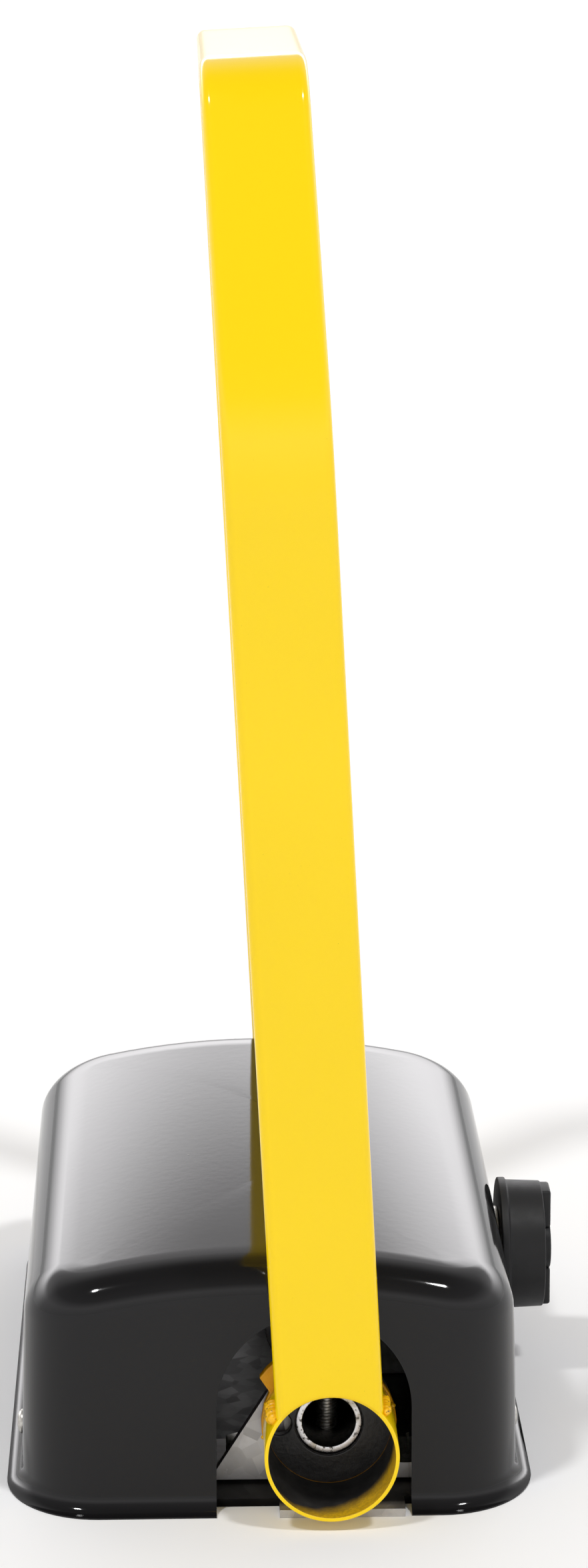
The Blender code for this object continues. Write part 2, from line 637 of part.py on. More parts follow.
def make_arm_hoop():
    half = hoop_centreline()
    line = half + [Vector((-point.x, point.y)) for point in reversed(half)]
    section = rounded_rectangle(TUBE_WIDTH / 2, TUBE_DEPTH / 2, TUBE_CORNER, 2)
    rings = []
    for i, point in enumerate(line):
        before = (point - line[i - 1]).normalized() if i else None
        after = (line[i + 1] - point).normalized() if i + 1 < len(line) else None
        along = (before or after) + (after or before)
        along.normalize()
        across = Vector((along.y, -along.x))
        stretch = 1 / math.sqrt((1 + (before or after).dot(after or before)) / 2)
        rings.append([(x, point.x - across.x * t * stretch, point.y - PIVOT_Z - across.y * t * stretch)
                      for x, t in section])
    obj = solidify(lofted(rings, closed_end=False), TUBE_WALL)
    obj.location = (PIVOT_X, 0, PIVOT_Z)
    obj.rotation_euler = (0, -ARM_LEAN, 0)
    reach = LEG_OUTER * 1.2
    saddle = cylinder(COLLAR_RADIUS + GAP, (PIVOT_X, -reach, PIVOT_Z), (PIVOT_X, reach, PIVOT_Z), "Y", 2 * SEGMENTS)
    boolean(obj, as_tool(saddle, "saddle"))
    return keep(obj, "arm_hoop", YELLOW)


# ---------------------------------------------------------------- lock

def make_lock_plate():
    """A plate welded on the shaft, with a lobe that takes the lock bolt."""
    centre = (PIVOT_X, PIVOT_Z)
    hole = (BOLT_X, BOLT_Z)
    lobe = BOLT_RADIUS_ON_PLATE + LOCK_LOBE_MARGIN
    spread = math.asin(LOCK_LOBE_MARGIN * 1.2 / BOLT_RADIUS_ON_PLATE)
    outline = arc(centre, lobe, BOLT_ANGLE - spread, BOLT_ANGLE + spread, 5)
    outline += arc(centre, LOCK_HUB_RADIUS, BOLT_ANGLE + 2 * spread, BOLT_ANGLE - 2 * spread + 2 * math.pi, 24)
    half_x = BOLT_WIDTH / 2 + RUNNING
    half_z = BOLT_HEIGHT / 2 + RUNNING
    window = [(hole[0] + sx * half_x, hole[1] + sz * half_z)
              for sx, sz in ((-1, -1), (1, -1), (1, 1), (-1, 1))]
    bore = circle(centre, SHAFT_RADIUS + GAP)
    obj = plate([outline, bore, window], LOCK_PLATE_THICKNESS, (0, LOCK_PLATE_Y, 0), "Y")
    return keep(obj, "lock_plate", ZINC)


def make_lock_bolt():
    low_x, high_x = BOLT_X - BOLT_WIDTH / 2, BOLT_X + BOLT_WIDTH / 2
    low_z, high_z = BOLT_Z - BOLT_HEIGHT / 2, BOLT_Z + BOLT_HEIGHT / 2
    tail = (PIN_Y - BOLT_TAIL_LENGTH / 2, PIN_Y + BOLT_TAIL_LENGTH / 2)
    obj = box((low_x, BOLT_TIP, low_z), (high_x, tail[1], high_z))
    head = box((low_x, tail[0], BOLT_Z), (high_x, tail[1], low_z + BOLT_TAIL_HEIGHT))
    boolean(obj, as_tool(head, "bolt_tail"), "UNION")
    half = CRANK_PIN_RADIUS + CRANK_SLOT_CLEARANCE
    slot = box((low_x - MM, PIN_Y - half, PIN_Z - half), (high_x + MM, PIN_Y + half, KNOB_Z + 3 * CRANK_THROW))
    boolean(obj, as_tool(slot, "bolt_slot"))
    return keep(obj, "lock_bolt", BOLT_STEEL)


def housing_span():
    return GATE_FRONT, PIN_Y + BOLT_TAIL_LENGTH / 2


def housing_screw_spots():
    front, back = housing_span()
    across = BOLT_X + BOLT_WIDTH / 2 + HOUSING_FOOT_REACH / 2 + 2 * MM
    return [(across, front + 7 * MM), (across, back - 7 * MM)]


def make_lock_housing():
    """A shelf that the lock bolt slides on, with a gate round its nose and a screwed foot."""
    front, back = housing_span()
    low_x, high_x = BOLT_X - BOLT_WIDTH / 2 - GATE_RIM, BOLT_X + BOLT_WIDTH / 2
    foot_z = PLATE_TOP + GAP
    shelf_top = BOLT_Z - BOLT_HEIGHT / 2 - RUNNING
    obj = box((low_x, front, foot_z), (high_x, back, shelf_top))
    gate = box((low_x, front, shelf_top - BOLT_HEIGHT),
               (high_x + GATE_RIM, front + GATE_THICKNESS, BOLT_Z + BOLT_HEIGHT / 2 + GATE_RIM))
    boolean(obj, as_tool(gate, "housing_gate"), "UNION")
    foot = box((BOLT_X, front, foot_z), (high_x + HOUSING_FOOT_REACH, back, foot_z + HOUSING_FOOT))
    boolean(obj, as_tool(foot, "housing_foot"), "UNION")
    passage = box((BOLT_X - BOLT_WIDTH / 2 - RUNNING, front - MM, shelf_top),
                  (high_x + RUNNING, front + GATE_THICKNESS + MM, BOLT_Z + BOLT_HEIGHT / 2 + RUNNING))
    boolean(obj, as_tool(passage, "housing_passage"))
    for number, spot in enumerate(housing_screw_spots(), 1):
        drill = cylinder(HOUSING_SCREW_RADIUS + GAP, (*spot, -0.01), (*spot, 0.02), "Z", DRILL_SEGMENTS)
        boolean(obj, as_tool(drill, f"housing_drill_{number}"))
        seat = foot_z + HOUSING_FOOT + GAP
        hex_bolt(f"housing_screw_{number}", (*spot, seat), seat - GAP, "Z", (0, 0, 1),
                 HOUSING_SCREW_RADIUS, 8 * MM, 3.5 * MM)
    return keep(obj, "lock_housing", ZINC)


def make_crank():
    """A disc on the spindle's inner end, with a pin that drives the lock bolt's fork."""
    obj = cylinder(CRANK_RADIUS, (CRANK_X, 0, KNOB_Z), (CRANK_X + CRANK_THICKNESS, 0, KNOB_Z), "X")
    pin = cylinder(CRANK_PIN_RADIUS, (BOLT_X - BOLT_WIDTH / 2, PIN_Y, PIN_Z),
                   (CRANK_X + CRANK_THICKNESS / 2, PIN_Y, PIN_Z), "X", DRILL_SEGMENTS)
    boolean(obj, as_tool(pin, "crank_pin"), "UNION")
    return keep(obj, "crank", BOLT_STEEL)


def make_spindle():
    end = KNOB_X + KNOB_FLOOR * 0.65
    return keep(cylinder(SPINDLE_RADIUS, (SPINDLE_X, 0, KNOB_Z), (end, 0, KNOB_Z), "X"), "spindle", BOLT_STEEL)


def make_barrel():
    start = WALL_AT_KNOB - COVER_WALL - BARREL_NUT * 2
    profile = [(BARREL_FLANGE_RADIUS, FLANGE_X + BARREL_FLANGE), (BARREL_FLANGE_RADIUS, FLANGE_X),
               (BARREL_RADIUS, FLANGE_X), (BARREL_RADIUS, start), (SPINDLE_RADIUS + RUNNING, start),
               (SPINDLE_RADIUS + RUNNING, FLANGE_X + BARREL_FLANGE)]
    keep(turned(profile, (0, 0, KNOB_Z), "X", ring=True), "lock_barrel", BOLT_STEEL)
    outer = COVER_HALF_WIDTH - COVER_WALL - COVER_DRAFT * (KNOB_Z + BARREL_NUT_FLATS) - 2 * GAP
    nut = hexagon(BARREL_NUT_FLATS, (outer - BARREL_NUT, 0, KNOB_Z), (outer, 0, KNOB_Z), "X")
    bore = cylinder(BARREL_RADIUS + GAP, (outer - 2 * BARREL_NUT, 0, KNOB_Z),
                    (outer + BARREL_NUT, 0, KNOB_Z), "X")
    boolean(nut, as_tool(bore, "barrel_nut_bore"))
    keep(nut, "barrel_nut", BOLT_STEEL)


def make_knob():
    """A dished grip with a bar across it and a seat for the key plug."""
    face = KNOB_X + KNOB_DEPTH
    floor = KNOB_X + KNOB_FLOOR
    inner = KNOB_RADIUS - KNOB_RIM
    profile = [(0, floor), (inner, floor), (inner, face), (KNOB_RADIUS, face),
               (KNOB_RADIUS, KNOB_X + KNOB_FLANGE), (KNOB_FLANGE_RADIUS, KNOB_X + KNOB_FLANGE),
               (KNOB_FLANGE_RADIUS, KNOB_X), (0, KNOB_X)]
    obj = turned(profile, (0, 0, KNOB_Z), "X")
    grip_face = KNOB_X + KNOB_GRIP_DEPTH
    reach = KNOB_RADIUS - KNOB_RIM / 2
    bar = box((floor - MM, -GRIP_WIDTH / 2, KNOB_Z - reach), (grip_face, GRIP_WIDTH / 2, KNOB_Z + reach))
    boolean(obj, as_tool(bar, "grip_bar"), "UNION")
    boss = cylinder(GRIP_BOSS_RADIUS, (floor - MM, 0, KNOB_Z), (grip_face, 0, KNOB_Z), "X")
    boolean(obj, as_tool(boss, "grip_boss"), "UNION")
    plug_seat = KNOB_X + KNOB_FLOOR * 0.65 + GAP
    bore = cylinder(SPINDLE_RADIUS + GAP, (KNOB_X - MM, 0, KNOB_Z), (plug_seat + MM, 0, KNOB_Z), "X")
    boolean(obj, as_tool(bore, "spindle_bore"))
    well = cylinder(PLUG_RADIUS + RUNNING, (plug_seat, 0, KNOB_Z), (grip_face + MM, 0, KNOB_Z), "X")
    boolean(obj, as_tool(well, "plug_well"))
    keep(obj, "knob", BLACK_PLASTIC)
    plug = cylinder(PLUG_RADIUS, (plug_seat + GAP, 0, KNOB_Z), (grip_face - GAP, 0, KNOB_Z), "X")
    width, height, depth = KEY_SLOT
    slot = box((grip_face - depth, -width / 2, KNOB_Z - height / 2),
               (grip_face + MM, width / 2, KNOB_Z + height / 2))
    boolean(plug, as_tool(slot, "key_slot"))
    keep(plug, "key_plug", BRASS)


def put_origins():
    """Move the origins of the moving pieces onto their joint axes."""
    pivot = Vector((PIVOT_X, 0, PIVOT_Z))
    knob_axis = Vector((0, 0, KNOB_Z))
    turning = {"arm_hoop": pivot, "lock_plate": pivot, "front_drive_plate": pivot, "rear_drive_plate": pivot,
               "spindle": knob_axis, "crank": knob_axis, "key_plug": knob_axis}
    bpy.context.view_layer.update()
    for name, spot in turning.items():
        obj = bpy.data.objects[name]
        shift = obj.matrix_world.inverted() @ spot
        obj.data.transform(Matrix.Translation(-shift))
        obj.matrix_world = obj.matrix_world @ Matrix.Translation(shift)


def smooth(obj):
    if obj.type == "MESH" and len(obj.data.polygons):
        obj.data.shade_smooth()
        obj.data.set_sharp_from_angle(angle=math.radians(30))


def main():
    make_base_plate()
    make_bracket_bolts()
    for end, side in ((-1, "front"), (1, "rear")):
        make_bracket(end, f"{side}_bracket")
        make_bushing(end, f"{side}_bushing")
        make_collar(end, f"{side}_collar")
        make_drive_plate(end, f"{side}_drive_plate")
        make_retaining_ring(end, f"{side}_retaining_ring")
        make_cross_bolt(end, side)
    make_cover()
    make_cover_screws()
    make_shaft()
    make_arm_hoop()
    make_lock_plate()
    make_lock_bolt()
    make_lock_housing()
    make_crank()
    make_spindle()
    make_barrel()
    make_knob()
    put_origins()
    for obj in PARTS.objects:
        smooth(obj)


main()
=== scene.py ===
"""A fold-down parking-space barrier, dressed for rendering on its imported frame.

X points to the knob side, Y runs along the pivot shaft away from the open end of the near collar,
Z is up, and the origin is on the ground under the middle of the base plate.  Lengths are in metres.
"""
import math

import bmesh
import bpy
from bpy.props import FloatProperty, FloatVectorProperty, IntProperty, PointerProperty
from mathutils import Matrix, Vector


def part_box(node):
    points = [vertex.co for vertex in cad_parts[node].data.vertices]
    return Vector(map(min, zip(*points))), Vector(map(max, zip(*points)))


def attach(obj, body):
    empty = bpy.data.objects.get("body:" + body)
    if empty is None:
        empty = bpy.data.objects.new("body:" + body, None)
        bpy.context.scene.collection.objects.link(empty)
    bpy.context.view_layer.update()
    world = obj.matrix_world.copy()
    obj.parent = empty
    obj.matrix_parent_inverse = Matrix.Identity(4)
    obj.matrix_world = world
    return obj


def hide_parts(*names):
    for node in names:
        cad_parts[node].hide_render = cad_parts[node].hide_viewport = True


bl_info = {
    "name": "Parking barrier",
    "version": (1, 0, 0),
    "blender": (4, 5, 0),
    "location": "3D View > Sidebar > Barrier",
    "description": "Builds the painted hoop, pressed cover, pivot and lock of a fold-down parking barrier",
    "category": "Add Mesh",
}

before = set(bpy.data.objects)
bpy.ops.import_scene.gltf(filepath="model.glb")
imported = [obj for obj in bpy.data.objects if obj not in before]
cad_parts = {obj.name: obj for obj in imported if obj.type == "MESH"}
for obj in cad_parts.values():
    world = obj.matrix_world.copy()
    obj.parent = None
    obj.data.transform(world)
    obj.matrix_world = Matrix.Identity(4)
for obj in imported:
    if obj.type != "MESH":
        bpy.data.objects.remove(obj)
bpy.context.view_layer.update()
PIVOT = Vector((0.022, 0, 0.029))
KNOB_AXIS = Vector((0, 0, 0.050))
LEAN = math.radians(3)
RIGHT, ALONG, UP = Vector((1, 0, 0)), Vector((0, 1, 0)), Vector((0, 0, 1))
ENDS = ((-1, "front"), (1, "rear"))
M8 = {"head_height": 0.0053, "flats": 0.013, "radius": 0.004}
M5 = {"head_height": 0.0035, "flats": 0.008, "radius": 0.0025}
M5_PITCH = 0.0008
M8_HOLE = 0.0043
SCREW_HOLE, SCREW_ALONG, SCREW_UP = 0.0028, 0.080, 0.012
HEX_SOCKET = 0.0017
RUNNING_GAP = 0.0003
BARREL_HOLE, BARREL_RADIUS, BARREL_NUT_FLATS = 0.0083, 0.008, 0.022
PLUG_BORE = 0.0053
GRIP_HALF = 0.0065
RIM_TOP = 0.0075
COLLAR_END = 0.1538
NEGLIGIBLE = 0.00001
WELDED = 1e-6
BLACK, WHITE = (0, 0, 0, 1), (1, 1, 1, 1)
FINISHES = {}


# ---------------------------------------------------------------- settings

def length(name, description, default):
    return FloatProperty(name=name, description=description, default=default, unit="LENGTH", precision=4)


def colour(name, description, default):
    return FloatVectorProperty(name=name, description=description, default=default,
                               subtype="COLOR", size=3, min=0, max=1)


class BarrierSizes(bpy.types.PropertyGroup):
    cover_half_width: length("Cover half width", "Half the cover's width above its rim", 0.094)
    cover_half_length: length("Cover half length", "Half the cover's length above its rim", 0.135)
    cover_corner: length("Cover corner", "Radius of the cover's upright corners", 0.030)
    cover_side: length("Cover side height", "Height of the cover's long edges", 0.082)
    cover_crown: length("Cover crown", "How far the middle of the top stands over its long edges", 0.014)
    cover_fillet: length("Cover fillet", "Radius between the walls and the top", 0.014)
    cover_wall: length("Cover wall", "Thickness of the pressed sheet", 0.0018)
    rim_flare: length("Rim flare", "How far the cover's foot spreads", 0.006)
    rim_height: length("Rim height", "Height of the spread foot", 0.007)
    notch_half: length("Notch half width", "Half the width of each end opening", 0.0365)
    notch_centre: length("Notch centre", "Where the middle of each end opening stands", 0.016)
    notch_spring: length("Notch spring", "Height where the opening's arch starts", 0.040)
    tube_width: length("Tube width", "Width of the hoop's tube", 0.040)
    tube_depth: length("Tube depth", "Depth of the hoop's tube", 0.015)
    tube_corner: length("Tube corner", "Corner radius of the hoop's tube", 0.0035)
    hoop_height: length("Hoop height", "Top of the hoop over the ground, before its lean", 0.541)
    shoulder_height: length("Shoulder height", "Where the legs start to lean in", 0.412)
    shoulder_bend: length("Shoulder bend", "Radius of the bend at each shoulder", 0.110)
    crossbar_half: length("Crossbar half length", "From the middle to where the slope meets the top", 0.078)
    crossbar_bend: length("Crossbar bend", "Radius of the two top bends", 0.026)
    collar_radius: length("Collar radius", "Outer radius of the collars", 0.025)
    collar_wall: length("Collar wall", "Wall of the collars", 0.0015)
    shaft_radius: length("Shaft radius", "Outer radius of the pivot shaft", 0.0125)
    shaft_wall: length("Shaft wall", "Wall of the pivot shaft", 0.0025)
    thread_pitch: length("Thread pitch", "Pitch of the cross bolts", 0.00125)
    weld_bead: length("Weld bead", "Radius of the weld beads", 0.0026)
    knob_radius: length("Knob radius", "Outer radius of the knob's body", 0.0255)
    round_steps: IntProperty(name="Round steps", description="Faces round a turned piece",
                             default=96, min=24, max=256)


class BarrierColours(bpy.types.PropertyGroup):
    hoop_paint: colour("Hoop paint", "Enamel on the hoop and its collars", (1.0, 0.69, 0.002))
    cover_paint: colour("Cover paint", "Gloss enamel on the cover", (0.0065, 0.0062, 0.0066))
    zinc: colour("Zinc", "Dipped zinc on the base, brackets and shaft", (0.56, 0.555, 0.56))
    steel: colour("Steel", "Plated bolts, screws and nuts", (0.50, 0.49, 0.46))
    # Partly painted shade: this colour also darkens the shaft's bore and the deep inside of the collars and
    # their end plates.
    bare: colour("Bare steel", "Unpainted steel inside the collars", (0.018, 0.017, 0.016))
    plastic: colour("Plastic", "Moulded knob", (0.009, 0.009, 0.0095))
    nylon: colour("Nylon", "Bushings", (0.62, 0.60, 0.54))
    brass: colour("Brass", "Key plug", (0.60, 0.42, 0.16))
    floor: colour("Floor", "Studio floor", (0.92, 0.92, 0.92))


def sizes():
    return bpy.context.scene.barrier_sizes


def colours():
    return bpy.context.scene.barrier_colours


# ---------------------------------------------------------------- finishes

class Finish:
    """A material whose detail is worked out from where a point lies on the object."""

    def __init__(self, name, base, roughness, metallic=0.0):
        self.material = bpy.data.materials.new(name)
        self.material.use_nodes = True
        self.tree = self.material.node_tree
        self.shader = self.tree.nodes["Principled BSDF"]
        self.shader.inputs["Base Color"].default_value = (*base, 1)
        self.shader.inputs["Roughness"].default_value = roughness
        self.shader.inputs["Metallic"].default_value = metallic
        self.base = tuple(base)
        self.coords = self.tree.nodes.new("ShaderNodeTexCoord").outputs["Object"]
        FINISHES[name] = self.material

    def node(self, kind, **inputs):
        made = self.tree.nodes.new(kind)
        for socket, value in inputs.items():
            self.feed(made.inputs[socket], value)
        return made

    def feed(self, socket, value):
        if isinstance(value, bpy.types.NodeSocket):
            self.tree.links.new(value, socket)
        else:
            socket.default_value = value

    def stretched(self, scale):
        return self.node("ShaderNodeMapping", Vector=self.coords, Scale=scale).outputs["Vector"]

    def noise(self, scale, detail=3.0, roughness=0.5, vector=None):
        return self.node("ShaderNodeTexNoise", Vector=vector or self.coords, Scale=scale,
                         Detail=detail, Roughness=roughness).outputs["Fac"]

    def cells(self, scale, output="Distance"):
        return self.node("ShaderNodeTexVoronoi", Vector=self.coords, Scale=scale).outputs[output]

    def ramp(self, fac, low, high, start=BLACK, end=WHITE):
        made = self.node("ShaderNodeValToRGB", Fac=fac)
        for stop, position, shade in zip(made.color_ramp.elements, (low, high), (start, end)):
            stop.position, stop.color = position, shade
        return made.outputs["Color"]

    def patches(self, scale, detail, low, high, roughness=0.5):
        """White where the noise is high."""
        return self.ramp(self.noise(scale, detail, roughness), low, high)

    def pits(self, fac, low, high):
        """White where fac is low."""
        return self.ramp(fac, low, high, WHITE, BLACK)

    def flecks(self, size, low, high, spread, rare_low, rare_high):
        """Small round specks, kept to a few patches."""
        grit = self.pits(self.cells(size), low, high)
        return self.math("MULTIPLY", grit, self.patches(spread, 1.0, rare_low, rare_high))

    def spread(self, fac, low, high, from_low=0.0, from_high=1.0):
        made = self.node("ShaderNodeMapRange", Value=fac)
        for socket, value in (("From Min", from_low), ("From Max", from_high),
                              ("To Min", low), ("To Max", high)):
            made.inputs[socket].default_value = value
        return made.outputs["Result"]

    def mix(self, fac, first, second):
        made = self.tree.nodes.new("ShaderNodeMix")
        made.data_type = "RGBA"
        self.feed(made.inputs["Factor"], fac)
        for socket, value in ((made.inputs[6], first), (made.inputs[7], second)):
            self.feed(socket, (*value, 1) if isinstance(value, tuple) else value)
        return made.outputs[2]

    def math(self, operation, first, second=0.0):
        made = self.tree.nodes.new("ShaderNodeMath")
        made.operation = operation
        self.feed(made.inputs[0], first)
        self.feed(made.inputs[1], second)
        return made.outputs[0]

    def axis(self, name):
        return self.node("ShaderNodeSeparateXYZ", Vector=self.coords).outputs[name]

    def from_pivot(self):
        """How far a point lies from the pivot's axis."""
        squares = [self.math("POWER", self.math("SUBTRACT", self.axis(name), middle), 2.0)
                   for name, middle in (("X", PIVOT.x), ("Z", PIVOT.z))]
        return self.math("SQRT", self.math("ADD", *squares))

    def paint(self, colour):
        self.feed(self.shader.inputs["Base Color"], colour)

    def polish(self, roughness):
        self.feed(self.shader.inputs["Roughness"], roughness)

    def sheen(self, scale, detail, low, high):
        self.polish(self.spread(self.noise(scale, detail), low, high))

    def bump(self, height, distance, strength=1.0):
        made = self.node("ShaderNodeBump", Height=height, Distance=distance, Strength=strength)
        earlier = self.shader.inputs["Normal"]
        if earlier.is_linked:
            self.feed(made.inputs["Normal"], earlier.links[0].from_socket)
        self.feed(earlier, made.outputs["Normal"])

    def grain(self, scale, detail, distance, strength):
        self.bump(self.noise(scale, detail), distance, strength)

    def set(self, **values):
        for name, value in values.items():
            self.shader.inputs[name.replace("_", " ")].default_value = value


def tinted(base, factor):
    return tuple(min(channel * factor, 1.0) for channel in base)


def make_hoop_paint():
    """Gloss enamel, a little uneven, with rare specks of grit."""
    paint = Finish("hoop_paint", colours().hoop_paint, 0.16)
    drift = paint.mix(paint.noise(9.0, 2.0), paint.base, tinted(paint.base, 0.90))
    specks = paint.flecks(420.0, 0.03, 0.06, 60.0, 0.62, 0.68)
    paint.paint(paint.mix(specks, drift, tinted(paint.base, 0.45)))
    paint.sheen(35.0, 4.0, 0.12, 0.20)
    paint.grain(520.0, 2.0, 0.00002, 0.35)
    paint.bump(specks, 0.00005, 0.5)
    paint.set(Specular_IOR_Level=0.16, Coat_Weight=0.45, Coat_Roughness=0.06)


def make_weld_paint():
    """The hoop's enamel over rough welds: thinner on the high spots, dark in the pits, and tinted orange as
    painted shade.
    """
    paint = Finish("weld_paint", colours().hoop_paint, 0.28)
    pits = paint.pits(paint.noise(900.0, 4.0), 0.33, 0.42)
    # Painted shade: the darker orange stands in for shadow and yellow bounce light round the welds.
    shade = paint.mix(paint.noise(260.0, 3.0), (1.0, 0.60, 0.002), (0.88, 0.42, 0.002))
    paint.paint(paint.mix(pits, shade, (0.10, 0.055, 0.01)))
    paint.sheen(300.0, 2.0, 0.2, 0.45)
    paint.grain(700.0, 4.0, 0.0003, 0.8)


def make_end_plate_paint():
    """Enamel round a collar's end plate, tinted darker orange as painted shade, and dark bare steel, partly
    painted shade, where the collar surrounds it.
    """
    paint = Finish("end_plate_paint", colours().hoop_paint, 0.3)
    outside = paint.spread(paint.from_pivot(), 0.0, 1.0, 0.0234, 0.0240)
    # Painted shade: the darker orange stands in for shadow and yellow bounce light on the plate's edge.
    shade = paint.mix(paint.noise(260.0, 3.0), (1.0, 0.50, 0.002), (0.78, 0.34, 0.002))
    dark = tuple(colours().bare)
    # Dark bare steel, darkened further as painted shade deep inside the collar.
    steel = paint.mix(paint.patches(150.0, 4.0, 0.45, 0.7), tinted(dark, 0.45), tinted(dark, 1.2))
    paint.paint(paint.mix(outside, steel, shade))
    paint.sheen(300.0, 2.0, 0.25, 0.5)
    paint.grain(700.0, 4.0, 0.0002, 0.6)


def make_cover_paint():
    """Black gloss enamel with a faint haze and a few dust specks."""
    paint = Finish("cover_paint", colours().cover_paint, 0.10)
    specks = paint.flecks(75.0, 0.020, 0.032, 22.0, 0.60, 0.66)
    paint.paint(paint.mix(specks, paint.base, (0.12, 0.115, 0.11)))
    haze = paint.spread(paint.noise(14.0, 3.0), 0.05, 0.09)
    paint.polish(paint.math("ADD", haze, paint.spread(specks, 0.0, 0.3)))
    paint.grain(300.0, 2.0, 0.00002, 0.25)
    paint.bump(specks, 0.0001, 0.5)
    paint.set(Specular_IOR_Level=0.30)


def spangled(zinc):
    """The colour of dipped zinc with its crystal grain; the grain shapes the shine too."""
    grey = zinc.node("ShaderNodeRGBToBW", Color=zinc.cells(170.0, "Color")).outputs["Val"]
    cloudy = zinc.noise(38.0, 5.0, 0.6)
    shade = zinc.mix(zinc.spread(grey, 0.0, 1.0), tinted(zinc.base, 1.14), tinted(zinc.base, 0.80))
    zinc.polish(zinc.math("ADD", zinc.spread(grey, 0.34, 0.50), zinc.spread(cloudy, -0.04, 0.10)))
    zinc.grain(240.0, 4.0, 0.00006, 0.5)
    return zinc.mix(zinc.ramp(cloudy, 0.50, 0.72), shade, (0.36, 0.345, 0.34))


def make_zinc():
    zinc = Finish("dipped_zinc", colours().zinc, 0.42, 1.0)
    zinc.paint(spangled(zinc))


def make_plate_zinc():
    """Zinc on the base plate, painted near black under the cover as painted shade."""
    zinc = Finish("plate_zinc", colours().zinc, 0.42, 1.0)
    # Painted shade: inside the cover the plate is painted near black, where the cover keeps the light off.
    painted_shade = zinc.spread(zinc.math("ABSOLUTE", zinc.axis("Y")), 1.0, 0.0, 0.1345, 0.1385)
    shade_dark = zinc.mix(zinc.noise(120.0, 4.0), (0.005, 0.005, 0.005), (0.014, 0.013, 0.012))
    zinc.paint(zinc.mix(painted_shade, spangled(zinc), shade_dark))


def make_shaft_zinc():
    """Zinc on the shaft, scuffed where it turns, pitted on the sawn ends and dark in the bore."""
    zinc = Finish("shaft_zinc", colours().zinc, 0.34, 1.0)
    pitting = zinc.noise(620.0, 5.0, 0.7)
    pits = zinc.pits(pitting, 0.38, 0.46)
    worn = zinc.mix(zinc.patches(160.0, 3.0, 0.56, 0.70), tinted(zinc.base, 1.6), (0.52, 0.47, 0.38))
    # Zinc on the shaft, scuffed where it turns and pitted on the sawn ends, with painted shade: the bore is
    # painted near black.
    skin = zinc.mix(pits, worn, (0.11, 0.10, 0.085))
    bore = sizes().shaft_radius - sizes().shaft_wall
    # Painted shade: the bore takes the dark bare-steel colour instead of zinc.
    inside = zinc.spread(zinc.from_pivot(), 1.0, 0.0, bore, bore + 0.0003)
    zinc.paint(zinc.mix(inside, skin, tuple(colours().bare)))
    scuffs = zinc.noise(60.0, 4.0, 0.6, zinc.stretched((1.0, 14.0, 1.0)))
    zinc.polish(zinc.math("ADD", zinc.spread(scuffs, 0.22, 0.42), zinc.spread(pits, 0.0, 0.25)))
    zinc.bump(pitting, 0.00012, 0.6)


def make_bolt_steel():
    """Plated steel, tarnished in patches and scratched along its length."""
    steel = Finish("plated_steel", colours().steel, 0.32, 1.0)
    tarnish = steel.patches(190.0, 4.0, 0.45, 0.70, 0.65)
    steel.paint(steel.mix(tarnish, tinted(steel.base, 1.25), (0.20, 0.175, 0.13)))
    scratches = steel.noise(140.0, 4.0, 0.7, steel.stretched((1.0, 1.0, 9.0)))
    steel.polish(steel.spread(scratches, 0.22, 0.46))
    steel.bump(scratches, 0.00003, 0.5)


def make_collar_bore():
    """Inside of a collar: a darker orange enamel drifts in from the open end and thins out over dark bare
    steel; both are darkened as painted shade deep in the collar.
    """
    bore = Finish("collar_bore", colours().bare, 0.42)
    radius = sizes().collar_radius
    from_rim = bore.math("SUBTRACT", COLLAR_END, bore.math("ABSOLUTE", bore.axis("Y")))
    # The enamel reaches further in on the knob side and towards the bottom.
    side = bore.spread(bore.axis("X"), -0.007, 0.015, PIVOT.x - radius, PIVOT.x + radius)
    low = bore.spread(bore.axis("Z"), 0.003, -0.005, PIVOT.z - radius, PIVOT.z + radius)
    uneven = bore.spread(bore.noise(75.0, 4.0), -0.008, 0.002)
    reach = bore.math("ADD", bore.math("ADD", side, low), uneven)
    cover = bore.spread(bore.math("SUBTRACT", from_rim, reach), 1.0, 0.0, -0.0015, 0.0065)
    drift = bore.math("MULTIPLY", cover, bore.spread(bore.patches(900.0, 3.0, 0.40, 0.60), 0.75, 1.0))
    steel = bore.mix(bore.patches(140.0, 4.0, 0.45, 0.7), tinted(bore.base, 0.5), tinted(bore.base, 1.6))
    # Painted shade: the enamel inside is a darker orange than the hoop's, and the bare steel is darkened for
    # the shade deep in the collar.
    bore.paint(bore.mix(drift, steel, (0.62, 0.36, 0.004)))
    bore.sheen(220.0, 3.0, 0.25, 0.5)
    bore.grain(500.0, 4.0, 0.0001, 0.5)


def make_knob_plastic():
    plastic = Finish("knob_plastic", colours().plastic, 0.42)
    plastic.paint(plastic.mix(plastic.noise(55.0, 3.0), plastic.base, tinted(plastic.base, 1.7)))
    plastic.sheen(240.0, 3.0, 0.40, 0.58)
    plastic.set(Specular_IOR_Level=0.28)
    plastic.grain(1600.0, 2.0, 0.00004, 0.5)


def make_nylon():
    nylon = Finish("bushing_nylon", colours().nylon, 0.5)
    nylon.paint(nylon.mix(nylon.noise(90.0, 4.0), nylon.base, tinted(nylon.base, 0.72)))
    nylon.sheen(200.0, 3.0, 0.4, 0.6)
    nylon.grain(700.0, 3.0, 0.00004, 0.4)
    nylon.set(Subsurface_Weight=0.15, Subsurface_Radius=(0.002, 0.002, 0.0015))


def make_brass():
    brass = Finish("plug_brass", colours().brass, 0.25, 1.0)
    aged = brass.patches(260.0, 4.0, 0.48, 0.72, 0.6)
    brass.paint(brass.mix(aged, tinted(brass.base, 1.2), (0.22, 0.14, 0.05)))
    brass.sheen(420.0, 3.0, 0.2, 0.4)
    brass.grain(900.0, 2.0, 0.00003, 0.5)


